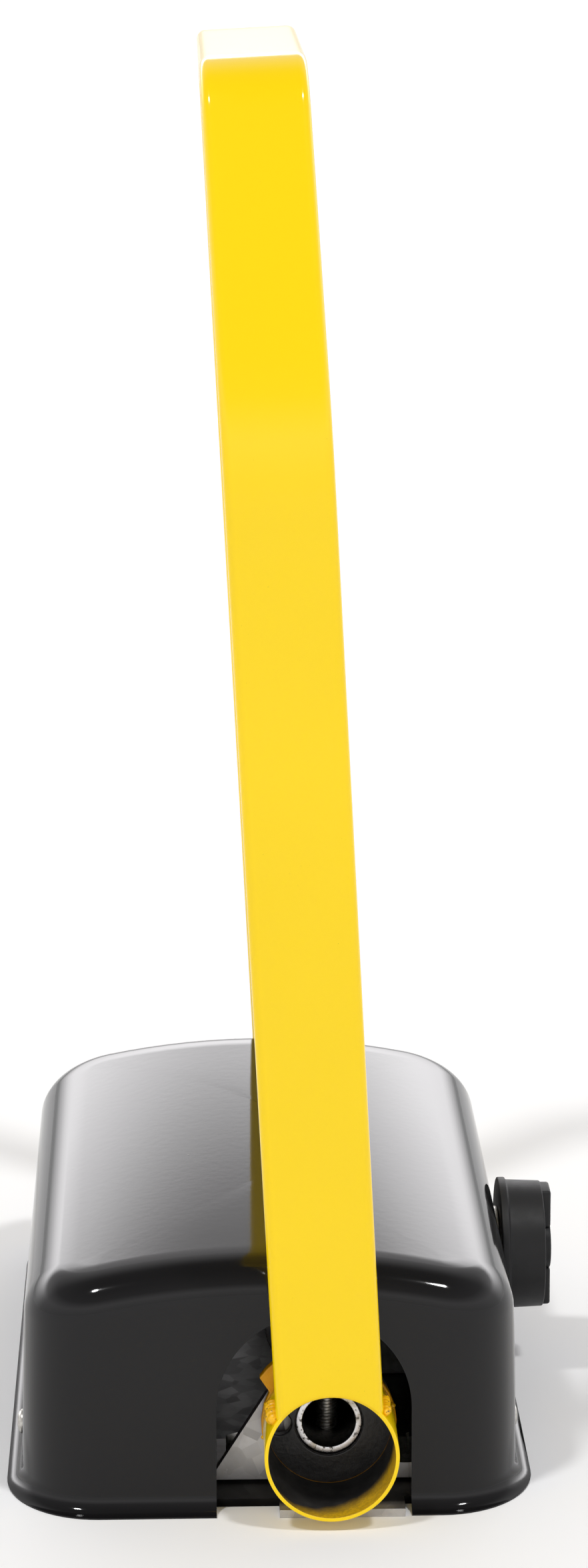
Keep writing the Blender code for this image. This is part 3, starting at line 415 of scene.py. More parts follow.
def make_floor_finish():
    sweep = Finish("studio_floor", colours().floor, 0.75)
    sweep.paint(sweep.mix(sweep.noise(3.0, 2.0), sweep.base, tinted(sweep.base, 0.985)))
    sweep.set(Specular_IOR_Level=0.15)


# ---------------------------------------------------------------- making shapes

def linked(bm, name, *finishes):
    """Put a bmesh in the scene as it is."""
    mesh = bpy.data.meshes.new(name)
    bm.to_mesh(mesh)
    bm.free()
    for finish in finishes:
        mesh.materials.append(FINISHES[finish])
    obj = bpy.data.objects.new(name, mesh)
    bpy.context.scene.collection.objects.link(obj)
    return obj


def into_object(bm, name, *finishes):
    """Close up a finished bmesh, turn it right side out and put it in the scene."""
    bmesh.ops.remove_doubles(bm, verts=bm.verts, dist=WELDED)
    bmesh.ops.recalc_face_normals(bm, faces=bm.faces)
    return linked(bm, name, *finishes)


def softened(obj, width, segments=2, angle=35):
    edge = obj.modifiers.new("edge", "BEVEL")
    edge.width = width
    edge.segments = segments
    edge.limit_method = "ANGLE"
    edge.angle_limit = math.radians(angle)
    edge.use_clamp_overlap = True
    return obj


def placed(obj, body, slot, *nodes, angle=32):
    """Shade a piece, hang it on its body and let it stand for its frame nodes."""
    obj.data.shade_smooth()
    obj.data.set_sharp_from_angle(angle=math.radians(angle))
    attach(obj, body)
    if nodes:
        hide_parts(*nodes)
    return obj


def baked(obj):
    """Apply a piece's modifiers."""
    bpy.context.view_layer.update()
    shaped = obj.evaluated_get(bpy.context.evaluated_depsgraph_get())
    mesh = bpy.data.meshes.new_from_object(shaped)
    old, obj.data = obj.data, mesh
    obj.modifiers.clear()
    mesh.name = old.name
    bpy.data.meshes.remove(old)
    return obj


def cut(obj, *tools, operation="DIFFERENCE"):
    for tool in tools:
        step = obj.modifiers.new("cut", "BOOLEAN")
        step.operation = operation
        step.object = tool
        step.solver = "EXACT"
    baked(obj)
    for tool in tools:
        bpy.data.objects.remove(tool, do_unlink=True)
    return obj


def lathe(bm, profile, centre, axis, ring=True, steps=None):
    """Spin (radius, distance along the axis) points about an axis through a centre."""
    centre, axis = Vector(centre), Vector(axis)
    out = axis.orthogonal().normalized()
    verts = [bm.verts.new(centre + out * radius + axis * along) for radius, along in profile]
    pairs = list(zip(verts, verts[1:])) + ([(verts[-1], verts[0])] if ring else [])
    edges = [bm.edges.new(pair) for pair in pairs]
    bmesh.ops.spin(bm, geom=verts + edges, cent=centre, axis=axis, angle=2 * math.pi,
                   steps=steps or sizes().round_steps, use_merge=True, use_duplicate=False)
    bmesh.ops.remove_doubles(bm, verts=bm.verts, dist=WELDED)
    return bm


def eased(points, radius, ring=True, steps=3):
    """Round the corners of a chain of points, leaving a chain's two ends alone."""
    made = []
    count = len(points)
    for i, point in enumerate(points):
        here = Vector(point)
        if not ring and i in (0, count - 1):
            made.append(tuple(here))
            continue
        before, after = Vector(points[i - 1]) - here, Vector(points[(i + 1) % count]) - here
        angle = before.angle(after)
        if angle > math.radians(170):
            made.append(tuple(here))
            continue
        reach = min(radius / math.tan(angle / 2), before.length * 0.45, after.length * 0.45)
        start, end = here + before.normalized() * reach, here + after.normalized() * reach
        for k in range(steps + 1):
            t = k / steps
            made.append(tuple(start * (1 - t) ** 2 + here * 2 * t * (1 - t) + end * t ** 2))
    return made


def turned_piece(name, profile, centre, axis, finish, ring=True, ease=0.0004, steps=None):
    bm = bmesh.new()
    lathe(bm, eased(profile, ease, ring), centre, axis, ring, steps)
    return into_object(bm, name, finish)


def rod(bm, radius, start, end, segments=48, ease=0.0003):
    """A closed round bar with eased ends."""
    start, end = Vector(start), Vector(end)
    span = (end - start).length
    profile = [(0, 0), (radius, 0), (radius, span), (0, span)]
    return lathe(bm, eased(profile, ease, ring=False), start, (end - start).normalized(), False, segments)


def rod_tool(radius, start, end, segments=64):
    bm = bmesh.new()
    rod(bm, radius, start, end, segments, ease=NEGLIGIBLE)
    return into_object(bm, "tool")


def drill(radius, at, reach, axis=UP, segments=32):
    """A tool that bores right through a piece, reach each way from a point."""
    at = Vector(at)
    return rod_tool(radius, at - axis * reach, at + axis * reach, segments)


def rounded(bm, geom, radius, segments, affect="EDGES"):
    """Round edges or corners."""
    bmesh.ops.bevel(bm, geom=geom, offset=radius, offset_type="OFFSET", affect=affect,
                    segments=segments, profile=0.5, material=-1)


def block(bm, low, high, ease=0.0, segments=3):
    """A box between two corners with eased edges."""
    low, high = Vector(low), Vector(high)
    made = bmesh.ops.create_cube(bm, size=1)["verts"]
    bmesh.ops.scale(bm, vec=high - low, verts=made)
    bmesh.ops.translate(bm, vec=(low + high) / 2, verts=made)
    if ease:
        rounded(bm, list({edge for vert in made for edge in vert.link_edges}), ease, segments)
    return bm


def block_tool(low, high):
    return into_object(block(bmesh.new(), low, high), "tool")


def section(bm, half_x, half_y, corner, steps=5):
    """A flat rounded rectangle in the XY plane, as one face."""
    made = bmesh.ops.create_grid(bm, x_segments=1, y_segments=1, size=1)["verts"]
    bmesh.ops.scale(bm, vec=(half_x, half_y, 1), verts=made)
    rounded(bm, made, corner, steps, "VERTICES")
    bm.faces.ensure_lookup_table()
    return bm.faces[0]


def refined(node, name, finish, width=0.0004, segments=2):
    """A finer copy of a frame node: seams merged, flats cleaned and edges eased."""
    bm = bmesh.new()
    bm.from_mesh(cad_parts[node].data)
    bmesh.ops.remove_doubles(bm, verts=bm.verts, dist=WELDED)
    bmesh.ops.dissolve_limit(bm, angle_limit=math.radians(1), verts=bm.verts, edges=bm.edges)
    return softened(linked(bm, name, finish), width, segments)


def outward_span(node, end):
    """How far out along the shaft a piece starts and ends, outer end first."""
    low, high = (corner.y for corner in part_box(node))
    return (high, low) if end > 0 else (-low, -high)


# ---------------------------------------------------------------- cover

def crown_height(x):
    s = sizes()
    return s.cover_side + s.cover_crown * (1 - min(1.0, (x / s.cover_half_width) ** 2))


def cover_steps():
    """(how far in, height, follows the crown) from the spread foot to the middle of the top."""
    s = sizes()
    steps = []
    quarter = [math.pi / 2 * i / 10 for i in range(11)]
    for turn in quarter:
        steps.append((-s.rim_flare * (1 - math.sin(turn)),
                      0.0005 + s.rim_height * (1 - math.cos(turn)), False))
    draft = math.tan(math.radians(0.9))
    for share in (0.2, 0.4, 0.6, 0.8):
        height = RIM_TOP + (s.cover_side - s.cover_fillet - RIM_TOP) * share
        steps.append((draft * height * share, height, False))
    inset = draft * (s.cover_side - s.cover_fillet)
    for turn in quarter:
        steps.append((inset + s.cover_fillet * (1 - math.cos(turn)),
                      -s.cover_fillet * (1 - math.sin(turn)), True))
    inner = inset + s.cover_fillet
    for i in range(1, 13):
        steps.append((inner + (s.cover_half_width - inner) * 0.985 * i / 12, 0.0, True))
    return steps


def drawn_in(start, inset):
    """Where a point of the cover's outline stands on a smaller outline, one inset further in."""
    s = sizes()
    half = (s.cover_half_width, s.cover_half_length)
    corner = max(s.cover_corner - inset, 0.003)
    flat = [h - s.cover_corner for h in half]
    fresh_flat = [h - inset - corner for h in half]
    beyond = Vector([max(abs(start[i]) - flat[i], 0.0) for i in (0, 1)])
    grown = beyond.normalized() * corner if beyond.length > 1e-9 else beyond
    made = []
    for i in (0, 1):
        run = min(abs(start[i]), flat[i]) / flat[i] * fresh_flat[i]
        made.append(math.copysign(run + grown[i], start[i]))
    return made


class BARRIER_OT_cover(bpy.types.Operator):
    """Press the cover: rounded box, spread rim, arched end openings and drilled sides"""
    bl_idname = "barrier.cover"
    bl_label = "Cover"

    def execute(self, context):
        s = sizes()
        bm = bmesh.new()
        section(bm, s.cover_half_width, s.cover_half_length, s.cover_corner, 16)
        bmesh.ops.delete(bm, geom=bm.faces[:], context="FACES_ONLY")
        bmesh.ops.subdivide_edges(bm, edges=[e for e in bm.edges if e.calc_length() > 0.01], cuts=14)
        loop, edges = bm.verts[:], bm.edges[:]
        home = {vert: vert.co.copy() for vert in loop}
        steps = cover_steps()

        def settle(verts, place, step):
            inset, height, crowned = step
            for vert in verts:
                x, y = drawn_in(place[vert], inset)
                shoulder = crown_height(x) - s.cover_side
                share = max(0.0, (height - RIM_TOP) / (s.cover_side - s.cover_fillet - RIM_TOP))
                lift = crown_height(x) + height if crowned else height + shoulder * min(1.0, share)
                vert.co = (x, y, lift)

        settle(loop, home, steps[0])
        for step in steps[1:]:
            made = bmesh.ops.extrude_edge_only(bm, edges=edges)["geom"]
            fresh = [item for item in made if isinstance(item, bmesh.types.BMVert)]
            edges = [item for item in made if isinstance(item, bmesh.types.BMEdge)
                     and all(vert in fresh for vert in item.verts)]
            place = {}
            for vert in fresh:
                twin = next(e.other_vert(vert) for e in vert.link_edges if e.other_vert(vert) in home)
                place[vert] = home[twin]
            settle(fresh, place, step)
            home = place
        bmesh.ops.contextual_create(bm, geom=edges)
        obj = into_object(bm, "pressed_cover", "cover_paint")
        wall = obj.modifiers.new("wall", "SOLIDIFY")
        wall.thickness = s.cover_wall
        wall.offset = -1
        wall.use_even_offset = True
        baked(obj)
        self.add_shade_lips(obj)
        tools = []
        for end, _ in ENDS:
            tools += self.arch_tools(end, s.notch_half, 0.09, s.cover_half_length + 0.02, -0.01)
            tools.append(drill(SCREW_HOLE, (0, end * SCREW_ALONG, SCREW_UP), 0.11, RIGHT))
        tools.append(drill(BARREL_HOLE, KNOB_AXIS + RIGHT * 0.09, 0.03, RIGHT, 48))
        cut(obj, *tools)
        softened(obj, 0.00035, 2, 50)
        placed(obj, "base", "black_paint", "cover", angle=38)
        return {"FINISHED"}

    def add_shade_lips(self, obj):
        """Stand a solid arch inside each end wall, reaching in to the bracket; the opening cut through it
        leaves a black lip, a dark sheet that stands in for the shade inside the cover.
        """
        s = sizes()
        half = s.notch_half + s.cover_wall
        bracket_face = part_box("rear_bracket")[1].y
        # The lip runs in to just short of the bracket, so the opening shows only black: painted shade.
        near, far = bracket_face + 0.0015, s.cover_half_length - s.cover_wall + 0.0001
        tools = []
        for end, _ in ENDS:
            arch, post = self.arch_tools(end, half, near, far, 0.0033)
            tools.append(cut(arch, post, operation="UNION"))
        cut(obj, *tools, operation="UNION")

    def arch_tools(self, end, half, near, far, foot):
        """The round top and the straight part of an opening, from near to far along the shaft."""
        s = sizes()
        arch = rod_tool(half, (s.notch_centre, end * near, s.notch_spring),
                        (s.notch_centre, end * far, s.notch_spring), 128)
        post = block_tool((s.notch_centre - half, min(end * near, end * far), foot),
                          (s.notch_centre + half, max(end * near, end * far), s.notch_spring))
        return arch, post


class BARRIER_OT_cover_screws(bpy.types.Operator):
    """Turn the four domed socket screws that hold the cover"""
    bl_idname = "barrier.cover_screws"
    bl_label = "Cover screws"

    def execute(self, context):
        for number in range(1, 5):
            node = f"cover_screw_{number}"
            low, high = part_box(node)
            side = 1 if high.x > 0 else -1
            middle = (low + high) / 2
            outer, radius = max(high.x, -low.x), (high.y - low.y) / 2
            seat, tip, shank = outer - 0.0025, outer - 0.0145, M5["radius"]
            profile = [(0, outer), (radius * 0.45, outer), (radius * 0.78, outer - 0.0005),
                       (radius * 0.97, outer - 0.0015), (radius, seat), (shank, seat),
                       (shank, tip + 0.0002), (0, tip)]
            obj = turned_piece(node + "_domed", profile, (0, middle.y, middle.z), (side, 0, 0),
                               "plated_steel", ring=False, ease=0.0003, steps=48)
            socket = bmesh.new()
            bmesh.ops.create_cone(socket, cap_ends=True, segments=6, radius1=HEX_SOCKET, radius2=HEX_SOCKET,
                                  depth=0.004, matrix=Matrix.Translation((side * outer, middle.y, middle.z))
                                  @ Matrix.Rotation(math.pi / 2, 4, "Y"))
            cut(obj, into_object(socket, "tool"))
            placed(obj, "base", "bolt_steel", node)
        return {"FINISHED"}


# ---------------------------------------------------------------- base

class BARRIER_OT_base(bpy.types.Operator):
    """Ease the base plate and the two brackets, and give them their dipped zinc"""
    bl_idname = "barrier.base"
    bl_label = "Base plate and brackets"

    def execute(self, context):
        for node, name, finish in (("base_plate", "zinc_base_plate", "plate_zinc"),
                                   ("front_bracket", "front_zinc_bracket", "dipped_zinc"),
                                   ("rear_bracket", "rear_zinc_bracket", "dipped_zinc")):
            placed(refined(node, name, finish, 0.0005, 3), "base", "zinc_plate", node)
        return {"FINISHED"}


def threaded(bm, radius, pitch, start, end, turns_steps=24):
    """A helical thread round a line, closed at both ends."""
    start, end = Vector(start), Vector(end)
    axis = (end - start).normalized()
    turns = max(2, int((end - start).length / pitch) - 1)
    out = axis.orthogonal().normalized()
    root = radius - pitch * 0.55
    tooth = [(root, 0.0), (root, 0.12), (radius, 0.44), (radius, 0.56), (root, 0.88), (root, 1.0)]
    verts = [bm.verts.new(start + out * r + axis * pitch * along) for r, along in tooth]
    edges = [bm.edges.new(pair) for pair in zip(verts, verts[1:])]
    bmesh.ops.spin(bm, geom=verts + edges, cent=start, axis=axis, dvec=axis * pitch / turns_steps,
                   angle=2 * math.pi * turns, steps=turns * turns_steps, use_merge=False, use_duplicate=False)
    bmesh.ops.remove_doubles(bm, verts=bm.verts, dist=2e-6)
    bmesh.ops.holes_fill(bm, edges=[edge for edge in bm.edges if edge.is_boundary], sides=0)
    return bm


def hex_head(bm, flats, start, end, chamfer=0.0006):
    """A closed hexagonal prism with eased upper corners."""
    start, end = Vector(start), Vector(end)
    axis = end - start
    turn = axis.to_track_quat("Z", "Y").to_matrix().to_4x4()
    corner = flats / math.sqrt(3)
    made = bmesh.ops.create_cone(bm, cap_ends=True, segments=6, radius1=corner, radius2=corner,
                                 depth=axis.length,
                                 matrix=Matrix.Translation((start + end) / 2) @ turn)["verts"]
    edges = [edge for edge in {e for v in made for e in v.link_edges}
             if all(abs((vert.co - end).dot(axis.normalized())) < WELDED for vert in edge.verts)]
    rounded(bm, edges, chamfer, 3)
    return bm


def bolt_piece(node, name, body, pitch, head_height, flats, radius):
    """A hex bolt standing head up where its frame node stands."""
    low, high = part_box(node)
    x, y, _ = (low + high) / 2
    seat = high.z - head_height
    bm = bmesh.new()
    hex_head(bm, flats, (x, y, seat), (x, y, high.z))
    rod(bm, flats * 0.47, (x, y, seat - 0.00015), (x, y, seat + 0.0004), 48, 0.0001)
    rod(bm, flats * 0.36, (x, y, high.z - 0.0005), (x, y, high.z + 0.00012), 48, 0.0001)
    bolt = into_object(bm, name, "plated_steel")
    thread = threaded(bmesh.new(), radius, pitch, (x, y, low.z), (x, y, seat + pitch * 1.5))
    joined(bolt, into_object(thread, name + "_thread", "plated_steel"))
    return placed(bolt, body, "bolt_steel", node)


def nut_piece(node, name, body, flats, hole, start, end, segments=32):
    """A hex nut with a plain bore, its eased corners at the end."""
    nut = into_object(hex_head(bmesh.new(), flats, start, end), name, "plated_steel")
    start, end = Vector(start), Vector(end)
    over = (end - start).normalized() * 0.01
    cut(nut, rod_tool(hole, start - over, end + over, segments))
    return placed(nut, body, "bolt_steel", node)


def joined(obj, *others):
    """Put the meshes of others into obj."""
    bm = bmesh.new()
    for part in (obj, *others):
        bm.from_mesh(part.data)
    bm.to_mesh(obj.data)
    bm.free()
    for part in others:
        bpy.data.objects.remove(part, do_unlink=True)
    return obj


class BARRIER_OT_fixings(bpy.types.Operator):
    """Make the bracket bolts and the lock housing's screws, with threads"""
    bl_idname = "barrier.fixings"
    bl_label = "Bracket bolts and housing screws"

    def execute(self, context):
        for kind, count, pitch, size in (("bracket_bolt", 4, sizes().thread_pitch, M8),
                                         ("housing_screw", 2, M5_PITCH, M5)):
            for number in range(1, count + 1):
                bolt_piece(f"{kind}_{number}", f"{kind}_{number}_hex", "base", pitch, **size)
        return {"FINISHED"}


# ---------------------------------------------------------------- pivot

class BARRIER_OT_pivot(bpy.types.Operator):
    """Turn the pivot shaft, its bushings and retaining rings, and thread the cross bolts"""
    bl_idname = "barrier.pivot"
    bl_label = "Pivot shaft"

    def execute(self, context):
        s = sizes()
        low, high = (corner.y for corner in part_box("pivot_shaft"))
        inner = s.shaft_radius - s.shaft_wall
        shaft = turned_piece("zinc_pivot_shaft",
                             [(s.shaft_radius, low), (s.shaft_radius, high), (inner, high), (inner, low)],
                             PIVOT, ALONG, "shaft_zinc", ease=0.0005)
        cut(shaft, *[self.cross_hole(f"{side}_cross_bolt") for _, side in ENDS])
        placed(shaft, "arm", "zinc_plate", "pivot_shaft", angle=40)
        for end, side in ENDS:
            self.make_bushing(end, side)
            self.make_ring(side)
            self.make_cross_bolt(side)
        return {"FINISHED"}

    def cross_hole(self, node):
        """A tool for the cross bolt's hole, upright through a node's middle and the shaft's axis."""
        low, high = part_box(node)
        return drill(M8_HOLE, (PIVOT.x, (low.y + high.y) / 2, PIVOT.z), 0.03)

    def make_bushing(self, end, side):
        node = f"{side}_bushing"
        low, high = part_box(node)
        face, back = outward_span(node, end)
        flange, under = (high.x - low.x) / 2, face - 0.0024
        inner, sleeve = sizes().shaft_radius + RUNNING_GAP, sizes().shaft_radius + 0.0025
        profile = [(flange, face), (flange, under), (sleeve, under), (sleeve, back),
                   (inner, back), (inner, face)]
        obj = turned_piece(f"{side}_nylon_bushing", profile, PIVOT, ALONG * end, "bushing_nylon")
        placed(obj, "base", "nylon", node)

    def make_ring(self, side):
        node = f"{side}_retaining_ring"
        low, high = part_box(node)
        radius, inner = (high.x - low.x) / 2, sizes().shaft_radius + RUNNING_GAP
        profile = [(radius, low.y), (radius, high.y), (inner, high.y), (inner, low.y)]
        obj = turned_piece(f"{side}_zinc_ring", profile, PIVOT, ALONG, "dipped_zinc", ease=0.0008)
        cut(obj, self.cross_hole(node))
        placed(obj, "arm", "zinc_plate", node, angle=40)

    def make_cross_bolt(self, side):
        bolt_piece(f"{side}_cross_bolt", f"{side}_threaded_bolt", "arm", sizes().thread_pitch, **M8)
        node = f"{side}_cross_nut"
        low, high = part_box(node)
        x, y, _ = (low + high) / 2
        nut_piece(node, f"{side}_hex_nut", "arm", M8["flats"], M8_HOLE, (x, y, high.z), (x, y, low.z))


# ---------------------------------------------------------------- hoop and collars

def leaned(point):
    """Where a point of the upright hoop stands once the hoop leans."""
    return PIVOT + Matrix.Rotation(-LEAN, 3, "Y") @ (Vector(point) - PIVOT)


def weld_bead(bm, start, end, radius, ripples):
    """A rippled bead laid along a line, closed at both ends."""
    start, end = Vector(start), Vector(end)
    axis = (end - start).normalized()
    span = (end - start).length
    steps = ripples * 5
    profile = [(0, 0)]
    for i in range(1, steps):
        t = i / steps
        swell = 0.80 + 0.20 * abs(math.sin(math.pi * ripples * t)) + 0.06 * math.sin(11.3 * t)
        taper = min(1.0, 5 * t, 5 * (1 - t)) ** 0.5
        profile.append((radius * swell * taper, span * t))
    profile.append((0, span))
    return lathe(bm, profile, start, axis, False, 20)


class BARRIER_OT_hoop(bpy.types.Operator):
    """Bend the hoop from flat-sided tube and sit its feet on the collars"""
    bl_idname = "barrier.hoop"
    bl_label = "Hoop"

    def execute(self, context):
        s = sizes()
        leg = outward_span("arm_hoop", -1)[0] - s.tube_depth / 2
        top = s.hoop_height - s.tube_depth / 2
        shoulder, corner = Vector((0, -leg, s.shoulder_height)), Vector((0, -s.crossbar_half, top))
        slope = (corner - shoulder).normalized()
        lean_in = UP.angle(slope)
        turn_over = slope.angle(ALONG)
        first = s.shoulder_bend * math.tan(lean_in / 2)
        second = s.crossbar_bend * math.tan(turn_over / 2)

        bm = bmesh.new()
        face = section(bm, s.tube_width / 2, s.tube_depth / 2, s.tube_corner, 6)
        bmesh.ops.translate(bm, vec=(PIVOT.x, -leg, PIVOT.z), verts=bm.verts)
        face = self.push(bm, face, UP, s.shoulder_height - first - PIVOT.z, 24)
        face = self.turn(bm, face, (0, -leg + s.shoulder_bend, s.shoulder_height - first), lean_in, 16)
        face = self.push(bm, face, slope, (corner - shoulder).length - first - second, 6)
        inward = Vector((0, slope.z, -slope.y)) * s.crossbar_bend
        face = self.turn(bm, face, corner - slope * second + inward, turn_over, 18)
        face = self.push(bm, face, ALONG, s.crossbar_half - second, 8)
        bmesh.ops.delete(bm, geom=[face], context="FACES_ONLY")
        bmesh.ops.mirror(bm, geom=bm.verts[:] + bm.edges[:] + bm.faces[:], axis="Y", merge_dist=1e-5)
        bmesh.ops.rotate(bm, cent=PIVOT, matrix=Matrix.Rotation(-LEAN, 3, "Y"), verts=bm.verts)
        obj = into_object(bm, "painted_hoop", "hoop_paint")
        cut(obj, drill(s.collar_radius - 0.0004, PIVOT, 0.2, ALONG, 128))
        placed(obj, "arm", "yellow_paint", "arm_hoop", angle=50)
        return {"FINISHED"}

    def extruded(self, bm, face):
        """Extrude a face, leave nothing inside the tube, and return the new end."""
        made = bmesh.ops.extrude_face_region(bm, geom=[face])["geom"]
        if face.is_valid:
            bmesh.ops.delete(bm, geom=[face], context="FACES_ONLY")
        return next(item for item in made if isinstance(item, bmesh.types.BMFace))

    def push(self, bm, face, way, distance, cuts):
        """Carry a face along a straight run in even lengths."""
        for _ in range(cuts):
            face = self.extruded(bm, face)
            bmesh.ops.translate(bm, vec=way * distance / cuts, verts=face.verts)
        return face

    def turn(self, bm, face, centre, angle, steps):
        """Carry a face round a bend."""
        step = Matrix.Rotation(-angle / steps, 3, "X")
        for _ in range(steps):
            face = self.extruded(bm, face)
            bmesh.ops.rotate(bm, cent=centre, matrix=step, verts=face.verts)
        return face


class BARRIER_OT_collars(bpy.types.Operator):
    """Turn the two open collars, with enamel that thins out inside"""
    bl_idname = "barrier.collars"
    bl_label = "Collars"

    def execute(self, context):
        s = sizes()
        for end, side in ENDS:
            node = f"{side}_collar"
            rim, back = outward_span(node, end)
            inner = s.collar_radius - s.collar_wall
            profile = [(s.collar_radius, back), (s.collar_radius, rim), (inner, rim), (inner, back)]
            bm = lathe(bmesh.new(), eased(profile, 0.0003), PIVOT, ALONG * end, True, 160)
            for face in bm.faces:
                spot = face.calc_center_median() - PIVOT
                spot.y = 0
                face.material_index = 1 if spot.length < inner + 0.0002 else 0
            obj = into_object(bm, f"{side}_painted_collar", "hoop_paint", "collar_bore")
            placed(obj, "arm", "yellow_paint", node, angle=40)
        return {"FINISHED"}


class BARRIER_OT_drive_plates(bpy.types.Operator):
    """Ease the collars' end plates and paint them"""
    bl_idname = "barrier.drive_plates"
    bl_label = "Collar end plates"

    def execute(self, context):
        for _, side in ENDS:
            node = f"{side}_drive_plate"
            placed(refined(node, f"{side}_painted_end_plate", "end_plate_paint", 0.0005, 3),
                   "arm", "yellow_paint", node)
        return {"FINISHED"}


class BARRIER_OT_welds(bpy.types.Operator):
    """Lay the weld beads between the hoop's feet, the collars and their end plates"""
    bl_idname = "barrier.welds"
    bl_label = "Weld beads"

    def execute(self, context):
        s = sizes()
        half = s.tube_width / 2
        rise = math.sqrt(s.collar_radius ** 2 - (half + 0.0004) ** 2)
        for end, side in ENDS:
            rim, back = outward_span(f"{side}_collar", end)
            bm = bmesh.new()
            for way, size in ((-1, 1.15), (1, 0.8)):
                foot = leaned((PIVOT.x + way * (half + 0.0008), 0, PIVOT.z + rise + 0.001))
                weld_bead(bm, (foot.x, end * (rim - 0.0012), foot.z), (foot.x, end * (rim - 0.0168), foot.z),
                          s.weld_bead * size, 7)
            for count, first, pace, y, radius, size in (
                    (9, 53, 10, rim - 0.0165, s.collar_radius + 0.0004, 0.8),
                    (12, 160, 31, back + 0.0006, s.collar_radius - 0.0002, 0.42)):
                for i in range(count):
                    turn = math.radians(first + i * pace)
                    spot = (PIVOT.x + radius * math.cos(turn), end * y, PIVOT.z + radius * math.sin(turn))
                    self.dab(bm, spot, s.weld_bead * size, i)
            obj = into_object(bm, f"{side}_weld_beads", "weld_paint")
            placed(obj, "arm", "yellow_paint", angle=60)
        return {"FINISHED"}

    def dab(self, bm, spot, radius, number):
        made = bmesh.ops.create_icosphere(bm, subdivisions=3, radius=radius)["verts"]
        bmesh.ops.scale(bm, vec=(1.25, 0.9 + 0.1 * (number % 3), 0.85), verts=made)
        bmesh.ops.translate(bm, vec=spot, verts=made)


# ---------------------------------------------------------------- lock

class BARRIER_OT_lock(bpy.types.Operator):
    """Ease the lock plate, lock bolt, housing, crank and barrel, and finish them"""
    bl_idname = "barrier.lock"
    bl_label = "Lock works"

    def execute(self, context):
        for node, name, finish, body, slot in (
                ("lock_plate", "lock_plate_zinc", "dipped_zinc", "arm", "zinc_plate"),
                ("lock_bolt", "lock_bolt_steel", "plated_steel", "bolt", "bolt_steel"),
                ("lock_housing", "lock_housing_zinc", "dipped_zinc", "base", "zinc_plate"),
                ("crank", "crank_steel", "plated_steel", "knob", "bolt_steel")):
            placed(refined(node, name, finish, 0.0003, 2), body, slot, node)
        low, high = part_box("spindle")
        spindle = rod(bmesh.new(), (high.z - low.z) / 2, KNOB_AXIS + RIGHT * low.x,
                      KNOB_AXIS + RIGHT * high.x, 64, 0.0005)
        placed(into_object(spindle, "spindle_steel", "plated_steel"), "knob", "bolt_steel", "spindle")
        low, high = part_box("lock_barrel")
        flange, under = (high.z - low.z) / 2, high.x - 0.0015
        profile = [(flange, high.x), (flange, under), (BARREL_RADIUS, under), (BARREL_RADIUS, low.x),
                   (PLUG_BORE, low.x), (PLUG_BORE, high.x)]
        barrel = turned_piece("barrel_steel", profile, KNOB_AXIS, RIGHT, "plated_steel", ease=0.0003)
        placed(barrel, "base", "bolt_steel", "lock_barrel")
        low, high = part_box("barrel_nut")
        nut_piece("barrel_nut", "barrel_nut_steel", "base", BARREL_NUT_FLATS, BARREL_HOLE,
                  KNOB_AXIS + RIGHT * high.x, KNOB_AXIS + RIGHT * low.x, 48)
        return {"FINISHED"}


class BARRIER_OT_knob(bpy.types.Operator):
    """Mould the knob: dished body, raised grip bar and the boss round the key plug"""
    bl_idname = "barrier.knob"
    bl_label = "Knob and key plug"

    def execute(self, context):
        s = sizes()
        low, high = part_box("knob")
        base, grip = low.x, high.x
        flange = (high.z - low.z) / 2
        floor, face = base + 0.009, base + 0.0175
        well, seat, boss = 0.0073, base + 0.00615, 0.010
        inner = s.knob_radius - 0.0035
        profile = [(PLUG_BORE, base), (flange, base), (flange, base + 0.003), (s.knob_radius, base + 0.0034),
                   (s.knob_radius - 0.0006, face), (inner, face), (inner - 0.0004, floor), (boss, floor),
                   (boss - 0.0003, grip), (well, grip), (well, seat), (PLUG_BORE, seat)]
        body = lathe(bmesh.new(), eased(profile, 0.0007, steps=4), KNOB_AXIS, RIGHT, True, 128)
        obj = into_object(body, "moulded_knob", "knob_plastic")
        bars = []
        for way in (-1, 1):
            near, far = sorted((way * 0.0086, way * (s.knob_radius - 0.0014)))
            bar = block(bmesh.new(), (floor - 0.002, -GRIP_HALF, KNOB_AXIS.z + near),
                        (grip, GRIP_HALF, KNOB_AXIS.z + far), 0.0011, 4)
            for vert in bar.verts:
                draft = (vert.co.x - floor) / (grip - floor)
                vert.co.y *= 1 - 0.12 * max(0.0, draft)
            bars.append(into_object(bar, "bar", "knob_plastic"))
        joined(obj, *bars)
        placed(obj, "knob", "black_plastic", "knob", angle=34)
        low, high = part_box("key_plug")
        radius = (high.z - low.z) / 2
        profile = [(0, low.x), (radius, low.x), (radius, high.x), (radius * 0.86, high.x),
                   (radius * 0.82, high.x - 0.0004), (0, high.x - 0.0004)]
        plug = turned_piece("key_plug_brass", profile, KNOB_AXIS, RIGHT, "plug_brass",
                            ring=False, ease=0.0002, steps=64)
        slot, mouth = Vector((0.0035, 0.0007, 0.0035)), KNOB_AXIS + RIGHT * (high.x - 0.0015)
        cut(plug, block_tool(mouth - slot, mouth + slot))
        placed(plug, "plug", "brass", "key_plug")
        return {"FINISHED"}


# ---------------------------------------------------------------- stage

def high_lamp(name, way, strength, spread):
    """A far lamp with a soft edge, shining from the direction way."""
    lamp = bpy.data.lights.new(name, "SUN")
    lamp.energy = strength
    lamp.angle = math.radians(spread)
    obj = bpy.data.objects.new(name, lamp)
    bpy.context.scene.collection.objects.link(obj)
    obj.rotation_euler = Vector(way).to_track_quat("Z", "Y").to_euler()


